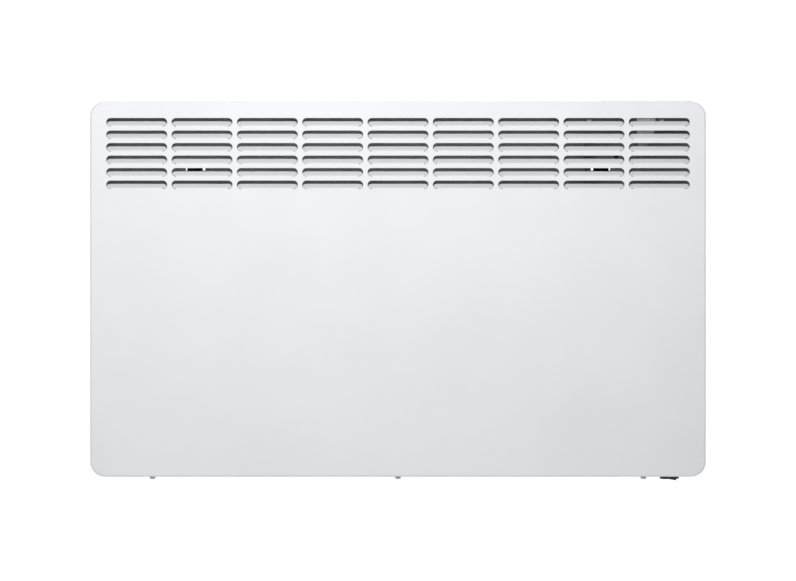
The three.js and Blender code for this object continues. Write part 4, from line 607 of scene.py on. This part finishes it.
def boolean(bm, tool, operation="DIFFERENCE"):
    """Cuts one bmesh with another, or joins them, exactly."""
    holders = []
    for item in (bm, tool):
        bmesh.ops.recalc_face_normals(item, faces=item.faces)
        holders.append(new_object("part", item))
    modifier = holders[0].modifiers.new("cut", "BOOLEAN")
    modifier.operation = operation
    modifier.solver = "EXACT"
    modifier.use_self = True
    modifier.object = holders[1]
    result = bmesh.new()
    result.from_object(holders[0], bpy.context.evaluated_depsgraph_get())
    for holder in holders:
        bpy.data.objects.remove(holder)
    return result


# ---------------------------------------------------------------- screws and switch

WIDE_HEAD = 3.8 * MM
WIDE_HEAD_HEIGHT = 2.6 * MM
NARROW_HEAD_HEIGHT = 3.1 * MM
DOME_TURNS = (0.35, 0.6, 0.85, 1.1, 1.3)
DOME_SHARE = 0.75
HEAD_EDGE = ((1, 0.72), (1, 0.96), (0.96, 1))
SHANK_SHARE = 0.47
ROOT_SHARE = 0.8
THREAD_PITCH = 0.9 * MM
THREAD_ROOT = 0.25 * MM
THREAD_CREST = 0.7 * MM
RECESS_SHARE = 0.55
RECESS_DEPTH = 1.5 * MM
SWITCH_PIECES = (
    ("switch_body", "switch_bezel", 0.35 * MM),
    ("switch_rocker", "rocker_moulding", 0.3 * MM),
)


def screw_profile(radius, length):
    """Half of a pan-head screw's outline, from the top of its head to the end of its thread."""
    head = NARROW_HEAD_HEIGHT if radius < WIDE_HEAD else WIDE_HEAD_HEIGHT
    shank = radius * SHANK_SHARE
    profile = [(0, 0)]
    profile += [(radius * math.sin(t), -head * DOME_SHARE * (1 - math.cos(t))) for t in DOME_TURNS]
    profile += [(radius * out, -head * down) for out, down in HEAD_EDGE]
    profile.append((shank, -head))
    along = head
    while along + THREAD_PITCH < length:
        profile += [(shank * ROOT_SHARE, -along - THREAD_ROOT), (shank, -along - THREAD_CREST)]
        along += THREAD_PITCH
    return profile + [(0, -length)]


def make_screw(node, facing):
    """A pan-head screw with a Phillips recess and a thread. Its head faces along an axis."""
    low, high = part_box(node)
    axis = Vector(facing)
    span = next(i for i in range(3) if axis[i])
    across = (span + 1) % 3
    radius = (high[across] - low[across]) / 2
    centre = (low + high) / 2
    centre[span] = high[span] if axis[span] > 0 else low[span]
    bm, tool = bmesh.new(), bmesh.new()
    add_turned(bm, screw_profile(radius, high[span] - low[span]), centre, axis)
    cross_recess(tool, centre, axis, radius * RECESS_SHARE, RECESS_DEPTH)
    finish_piece(node + "_turned", boolean(bm, tool), node, weighted=False)


def make_switch():
    """The mains switch: its bezel and its rocker, with moulded edges."""
    for node, name, edge in SWITCH_PIECES:
        bm = bmesh.new()
        bm.from_mesh(frame["nodes"][node].data)
        bmesh.ops.remove_doubles(bm, verts=bm.verts, dist=1e-6)
        flat = math.radians(1)
        bmesh.ops.dissolve_limit(bm, angle_limit=flat, verts=bm.verts, edges=bm.edges)
        bevel_sharp(bm, edge)
        finish_piece(name, bm, node)


# ---------------------------------------------------------------- ribbon and element

RIBBON_WIDTH = 22 * MM
RIBBON_WIRES = 20
RIBBON_STEPS = 90
RIBBON_THICKNESS = 0.9 * MM
RIBBON_STOPS = [  # millimetres left of the start, behind it and below the control housing's floor
    (0, 0, -8),
    (0, 0, -4),
    (0, 0.2, 1),
    (0.3, 6, 12),
    (2.5, 12.5, 27),
    (5.7, 16.5, 42),
    (9.1, 19.5, 57),
    (10.9, 21.5, 72),
]
RIBBON_TWIST_FROM = 0.06
RIBBON_TWIST_OVER = 0.28
RIBBON_TWIST = math.radians(88)
WIRE_SECTION = ((0.0, 0.55), (0.25, 0.9), (0.5, 1.0), (0.75, 0.9))  # share of the pitch, and lift
CURVE_STEPS = 60


def curve_point(points, knots, t):
    """A point on a centripetal Catmull-Rom span, which runs from the second point to the third."""

    def between(p, q, low, high):
        return p.lerp(q, (t - knots[low]) / (knots[high] - knots[low]))

    a, b, c, d = points
    before, within, after = between(a, b, 0, 1), between(b, c, 1, 2), between(c, d, 2, 3)
    return between(between(before, within, 0, 2), between(within, after, 1, 3), 1, 2)


def even_stops(fine, steps):
    """Stops at even distances along a fine polyline."""
    travelled = [0.0]
    for p, q in zip(fine, fine[1:]):
        travelled.append(travelled[-1] + (q - p).length)
    stops = []
    j = 0
    for i in range(steps + 1):
        goal = travelled[-1] * i / steps
        while j < len(fine) - 2 and travelled[j + 1] < goal:
            j += 1
        share = (goal - travelled[j]) / (travelled[j + 1] - travelled[j])
        stops.append(fine[j].lerp(fine[j + 1], share))
    return stops


def smooth_path(points, steps):
    """Even stops along a smooth curve through the points."""
    points = [Vector(p) for p in points]
    ends = [points[0] * 2 - points[1]] + points + [points[-1] * 2 - points[-2]]
    fine = []
    for span in zip(ends, ends[1:], ends[2:], ends[3:]):
        knots = [0.0]
        for p, q in zip(span, span[1:]):
            knots.append(knots[-1] + (q - p).length ** 0.5)
        for i in range(CURVE_STEPS):
            t = knots[1] + (knots[2] - knots[1]) * i / CURVE_STEPS
            fine.append(curve_point(span, knots, t))
    return even_stops(fine + [points[-1]], steps)


def make_ribbon():
    """The flat cable: a strip of moulded wires side by side, carried along its twisting path."""
    housing_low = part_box("control_housing")[0]
    board_low, board_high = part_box("power_board")
    fascia_low, fascia_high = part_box("control_fascia")
    start_x = (fascia_low.x + fascia_high.x) / 2 - 1 * MM
    start_y = housing_low.y - 3 * MM
    path = [
        (start_x - left * MM, start_y + behind * MM, housing_low.z - below * MM)
        for left, behind, below in RIBBON_STOPS
    ]
    path.append(((board_low.x + board_high.x) / 2, board_low.y + 2 * MM, board_high.z - 4 * MM))
    stops = smooth_path(path, RIBBON_STEPS)
    pitch = RIBBON_WIDTH / RIBBON_WIRES
    upper = [
        ((i + share) * pitch - RIBBON_WIDTH / 2, lift * RIBBON_THICKNESS / 2)
        for i in range(RIBBON_WIRES)
        for share, lift in WIRE_SECTION
    ]
    upper.append((RIBBON_WIDTH / 2, WIRE_SECTION[0][1] * RIBBON_THICKNESS / 2))
    section = upper + [(x, -y) for x, y in reversed(upper)]
    bm = bmesh.new()
    rings = []
    for i, stop in enumerate(stops):
        t = i / RIBBON_STEPS
        near, far = stops[max(i - 1, 0)], stops[min(i + 1, RIBBON_STEPS)]
        tangent = (far - near).normalized()
        turned = min(max((t - RIBBON_TWIST_FROM) / RIBBON_TWIST_OVER, 0), 1) * RIBBON_TWIST
        across = Vector((math.cos(turned), math.sin(turned), 0))
        normal = tangent.cross(across).normalized()
        across = normal.cross(tangent).normalized()
        rings.append([bm.verts.new(stop + across * x + normal * y) for x, y in section])
    for near, far in zip(rings, rings[1:]):
        for i in range(len(section)):
            j = (i + 1) % len(section)
            bm.faces.new((near[i], near[j], far[j], far[i]))
    bm.faces.new(rings[0][::-1])
    bm.faces.new(rings[-1])
    finish_piece("ribbon_strip", bm, "ribbon_cable", weighted=False)


FIN_PITCH = 6.4 * MM
FIN_SHEET = 0.5 * MM
COLLAR_RADIUS = 5.4 * MM
COLLAR_FIT = 1.04
COLLAR_STEPS = 32


def make_fins():
    """The element's stack of pressed fins, with a collar round each tube run."""
    low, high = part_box("element_fins")
    tube_low, tube_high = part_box("heating_tube")
    radius = (tube_high.y - tube_low.y) / 2
    centre_y = (tube_low.y + tube_high.y) / 2
    length = high.x - low.x
    bm = bmesh.new()
    for i in range(int((length - FIN_SHEET) / FIN_PITCH) + 1):
        x = low.x + i * FIN_PITCH
        add_block(bm, (x, low.y, low.z), (x + FIN_SHEET, high.y, high.z))
    for z in (tube_low.z + radius, tube_high.z - radius):
        inner = radius * COLLAR_FIT
        add_ring(bm, (low.x, centre_y, z), (1, 0, 0), inner, COLLAR_RADIUS, length, COLLAR_STEPS)
    finish_piece("fin_stack", bm, "element_fins", weighted=False)


# ---------------------------------------------------------------- control panel and bottom plate

PANEL_ROUND = 5 * MM
PANEL_RIM = 2 * MM
PANEL_LIFT = 0.1 * MM
PANEL_JOIN = 0.5 * MM
PANEL_EDGE = 0.18 * MM
WINDOW_ROUND = 2 * MM
WINDOW_GAP = 0.3 * MM
WINDOW_SEAT = 1.5 * MM
WINDOW_LEDGE = 2 * MM
KEY_ROUND = 2 * MM
KEY_GAP = 0.25 * MM
KEY_COLLAR = 1 * MM
KEY_CAP = 6 * MM
KEY_STEM = 2 * MM
KEY_EDGE = 0.35 * MM
KEY_NODES = ("key_plus", "key_minus", "key_menu", "key_confirm")
MARK_LIFT = 0.1 * MM
MARK_SINK = 0.2 * MM
MARK_RISE = 0.04 * MM
MARK_LONG = 2.1 * MM
MARK_THIN = 0.3 * MM
MARK_PITCH = 1.3 * MM
MARK_BARS = {  # each bar's place from the cap's middle, and its half sizes
    "key_plus": [(0, 0, MARK_LONG, MARK_THIN), (0, 0, MARK_THIN, MARK_LONG)],
    "key_minus": [(0, 0, MARK_LONG, MARK_THIN)],
    "key_menu": [(0, step * MARK_PITCH, MARK_LONG, MARK_THIN * 0.8) for step in (-1, 0, 1)],
}
MARK_RING = (1.3 * MM, 1.9 * MM)
INTAKE_LENGTH = 66 * MM
INTAKE_WIDTH = 6 * MM
INTAKE_PITCH = 10 * MM
INTAKE_ROWS = 5
PLATE_GAP = 0.3 * MM
PLATE_EDGE = 0.12 * MM
BEZEL_LAP = 0.5 * MM
SCREW_HOLE = 2 * MM
SCREW_HOLE_DEPTH = 3 * MM
CUT_LOW = BOTTOM - MM
CUT_HIGH = BOTTOM + 0.95 * MM
COVER_SCREWS = ("cover_screw_left", "cover_screw_centre", "cover_screw_right")


def middle(low, high):
    """The middle of a box seen from above."""
    return (low.x + high.x) / 2, (low.y + high.y) / 2


def key_cap(name):
    """The cap's middle and size, from the key's collar."""
    low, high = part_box(name)
    return middle(low, high), high.x - low.x - 2 * KEY_COLLAR, high.y - low.y - 2 * KEY_COLLAR


def make_fascia():
    """The control panel: a lip on its body, with the display window and the keys' openings."""
    low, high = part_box("control_fascia")
    centre = middle(low, high)
    width, depth = high.x - low.x, high.y - low.y
    lip, body, tool = bmesh.new(), bmesh.new(), bmesh.new()
    prism(lip, rounded_outline(centre, width, depth, PANEL_ROUND), TOP + PANEL_LIFT, high.z)
    inner_width, inner_depth = width - 2 * PANEL_RIM, depth - 2 * PANEL_RIM
    inner = rounded_outline(centre, inner_width, inner_depth, PANEL_ROUND - 1 * MM)
    prism(body, inner, low.z, TOP + PANEL_JOIN)
    panel = boolean(lip, body, "UNION")
    window_low, window_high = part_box("display_window")
    view = middle(window_low, window_high)
    span = window_high.x - window_low.x + 2 * WINDOW_GAP
    reach = window_high.y - window_low.y + 2 * WINDOW_GAP
    seat = high.z - WINDOW_SEAT
    prism(tool, rounded_outline(view, span, reach, WINDOW_ROUND), seat, high.z + MM)
    ledge = 2 * WINDOW_LEDGE
    light = rounded_outline(view, span - ledge, reach - ledge, WINDOW_ROUND / 2)
    prism(tool, light, low.z - MM, seat + 0.1 * MM)
    for name in KEY_NODES:
        place, wide, deep = key_cap(name)
        wide, deep = wide + 2 * KEY_GAP, deep + 2 * KEY_GAP
        opening = rounded_outline(place, wide, deep, KEY_ROUND + KEY_GAP)
        prism(tool, opening, low.z - MM, high.z + MM)
    panel = boolean(panel, tool)
    bevel_sharp(panel, PANEL_EDGE)
    finish_piece("control_panel", panel, "control_fascia")


def make_keys():
    """The four keys: a cap with rounded edges, its stem, and a generic printed mark."""
    for name in KEY_NODES:
        low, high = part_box(name)
        (x, y), wide, deep = key_cap(name)
        face = high.z - MARK_LIFT
        under = face - KEY_CAP
        cap = bmesh.new()
        prism(cap, rounded_outline((x, y), wide, deep, KEY_ROUND), under, face)
        bevel_sharp(cap, KEY_EDGE, 3)
        add_peg(cap, (x, y, low.z), KEY_STEM, under - low.z, 16)
        finish_piece(name + "_cap", cap, name)
        mark = bmesh.new()
        foot, crest = face - MARK_SINK, face + MARK_RISE
        for right, behind, half_x, half_y in MARK_BARS.get(name, ()):
            near = (x + right - half_x, y + behind - half_y, foot)
            far = (x + right + half_x, y + behind + half_y, crest)
            add_block(mark, near, far)
        if name not in MARK_BARS:
            add_ring(mark, (x, y, foot), (0, 0, 1), *MARK_RING, crest - foot)
        finish_mark(name + "_mark", mark, NODE_BODIES[name], "black_plastic")


def make_bottom_plate():
    """The base sheet: its stepped front, upturned back, intake slots and switch opening."""
    low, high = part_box("bottom_plate")
    step = FRONT + COVER_BOTTOM_FLANGE + PLATE_GAP
    shelf = BOTTOM + SHEET + PLATE_GAP
    profile = [
        (low.y, shelf),
        (step, shelf),
        (step, BOTTOM),
        (high.y, BOTTOM),
        (high.y, high.z),
        (high.y - SHEET, high.z),
        (high.y - SHEET, BOTTOM + SHEET),
        (step + SHEET, BOTTOM + SHEET),
        (step + SHEET, shelf + SHEET),
        (low.y, shelf + SHEET),
    ]
    plate, tool = bmesh.new(), bmesh.new()
    prism(plate, profile, low.x, high.x, "X")
    slot_round = INTAKE_WIDTH / 2 - 0.01 * MM
    for column in range(LOUVRE_COLUMNS - 1):
        for row in range(INTAKE_ROWS):
            centre = (column_place(column), high.y - SHEET - INTAKE_PITCH * (row + 1))
            slot = rounded_outline(centre, INTAKE_LENGTH, INTAKE_WIDTH, slot_round, 8)
            prism(tool, slot, CUT_LOW, CUT_HIGH)
    bezel_low, bezel_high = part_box("switch_body")
    opening_low = (bezel_low.x + BEZEL_LAP, bezel_low.y + BEZEL_LAP, CUT_LOW)
    opening_high = (bezel_high.x - BEZEL_LAP, bezel_high.y - BEZEL_LAP, CUT_HIGH)
    add_block(tool, opening_low, opening_high)
    for name in COVER_SCREWS:
        x, y = middle(*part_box(name))
        add_peg(tool, (x, y, BOTTOM), SCREW_HOLE, SCREW_HOLE_DEPTH, 24)
    plate = boolean(plate, tool)
    bevel_sharp(plate, PLATE_EDGE, 1)
    finish_piece("base_sheet", plate, "bottom_plate")


# ---------------------------------------------------------------- camera, light and floor

LENS = 900
SENSOR_WIDTH = 36
VIEW_WIDTH = 954.0856 * MM
CAMERA_HEIGHT = -1.8 * MM
FLOOR_HEIGHT = -1.25
SKY_STRENGTH = 0.24
SEEN_STRENGTH = 1.05
LIGHTS = (  # name, place, target, sizes and power
    ("key", (-0.1, -1.35, 0.6), (-0.27, -0.1, 0.6), (1.0, 1.0), 17),
    ("back", (0.5, 2.4, 1.6), (0, 0, 0), (2.5, 2.0), 44),
    ("under", (0, -0.6, -1.1), (0, -0.05, 0), (1.6, 1.0), 2),
    ("left", (-1.9, 0.35, 0), (-0.37, -0.06, 0), (0.8, 1.0), 9),
    ("right", (1.9, 0.35, 0), (0.37, -0.06, 0), (0.8, 1.0), 9),
    ("above", (0, 0.35, 1.7), (0, -0.06, 0.22), (1.4, 0.8), 9),
)


def make_camera():
    """A long lens square to the casing's front."""
    data = bpy.data.cameras.new("camera")
    data.sensor_width = SENSOR_WIDTH
    data.lens = LENS
    data.clip_end = 100
    camera = bpy.data.objects.new("camera", data)
    camera.location = (0, FRONT - VIEW_WIDTH * LENS / SENSOR_WIDTH, CAMERA_HEIGHT)
    camera.rotation_euler = (math.pi / 2, 0, 0)
    bpy.context.scene.collection.objects.link(camera)
    bpy.context.scene.camera = camera


def area_light(name, place, target, size, power):
    """A rectangular light at the place that faces the target."""
    data = bpy.data.lights.new(name, "AREA")
    data.shape = "RECTANGLE"
    data.size, data.size_y = size
    data.energy = power
    light = bpy.data.objects.new(name, data)
    light.location = place
    direction = Vector(target) - Vector(place)
    light.rotation_euler = direction.to_track_quat("-Z", "Y").to_euler()
    bpy.context.scene.collection.objects.link(light)


def open_from_below(material):
    """Lets a look from under the floor pass through it."""
    tree = material.node_tree
    side = tree.nodes.new("ShaderNodeNewGeometry")
    clear = tree.nodes.new("ShaderNodeBsdfTransparent")
    mix = tree.nodes.new("ShaderNodeMixShader")
    tree.links.new(side.outputs["Backfacing"], mix.inputs["Fac"])
    tree.links.new(tree.nodes["Principled BSDF"].outputs["BSDF"], mix.inputs[1])
    tree.links.new(clear.outputs["BSDF"], mix.inputs[2])
    tree.links.new(mix.outputs["Shader"], tree.nodes["Material Output"].inputs["Surface"])


def make_sky():
    """A pale sky that lights the heater softly and that the camera sees as white."""
    scene = bpy.context.scene
    scene.view_settings.view_transform = "Standard"
    world = bpy.data.worlds.new("studio")
    scene.world = world
    world.use_nodes = True
    tree = world.node_tree
    sky = tree.nodes["Background"]
    sky.inputs["Color"].default_value = (0.97, 0.98, 1, 1)
    sky.inputs["Strength"].default_value = SKY_STRENGTH
    seen = tree.nodes.new("ShaderNodeBackground")
    seen.inputs["Color"].default_value = (1, 1, 1, 1)
    seen.inputs["Strength"].default_value = SEEN_STRENGTH
    path = tree.nodes.new("ShaderNodeLightPath")
    mix = tree.nodes.new("ShaderNodeMixShader")
    tree.links.new(path.outputs["Is Camera Ray"], mix.inputs["Fac"])
    tree.links.new(sky.outputs["Background"], mix.inputs[1])
    tree.links.new(seen.outputs["Background"], mix.inputs[2])
    tree.links.new(mix.outputs["Shader"], tree.nodes["World Output"].inputs["Surface"])


def make_floor():
    """A pale floor well below the heater."""
    bm = bmesh.new()
    bmesh.ops.create_grid(bm, x_segments=8, y_segments=8, size=40)
    floor = new_object("floor", bm)
    floor.location = (0, 0, FLOOR_HEIGHT)
    material = shader("pale_floor", (0.86, 0.86, 0.86), 0.8)
    soft = noise(material, 2)
    blend_colour(material, soft, (0.84, 0.84, 0.84), (0.88, 0.88, 0.88))
    open_from_below(material)
    floor.data.materials.append(material)


make_camera()
make_sky()
for light_row in LIGHTS:
    area_light(*light_row)
make_floor()
make_cover()
for screw_node in COVER_SCREWS:
    make_screw(screw_node, (0, 0, -1))
make_screw("earth_screw", (0, -1, 0))
make_switch()
make_ribbon()
make_fins()
make_fascia()
make_keys()
make_bottom_plate()
for node_name in frame["nodes"]:
    if node_name not in replaced_nodes:
        keep_node(node_name)
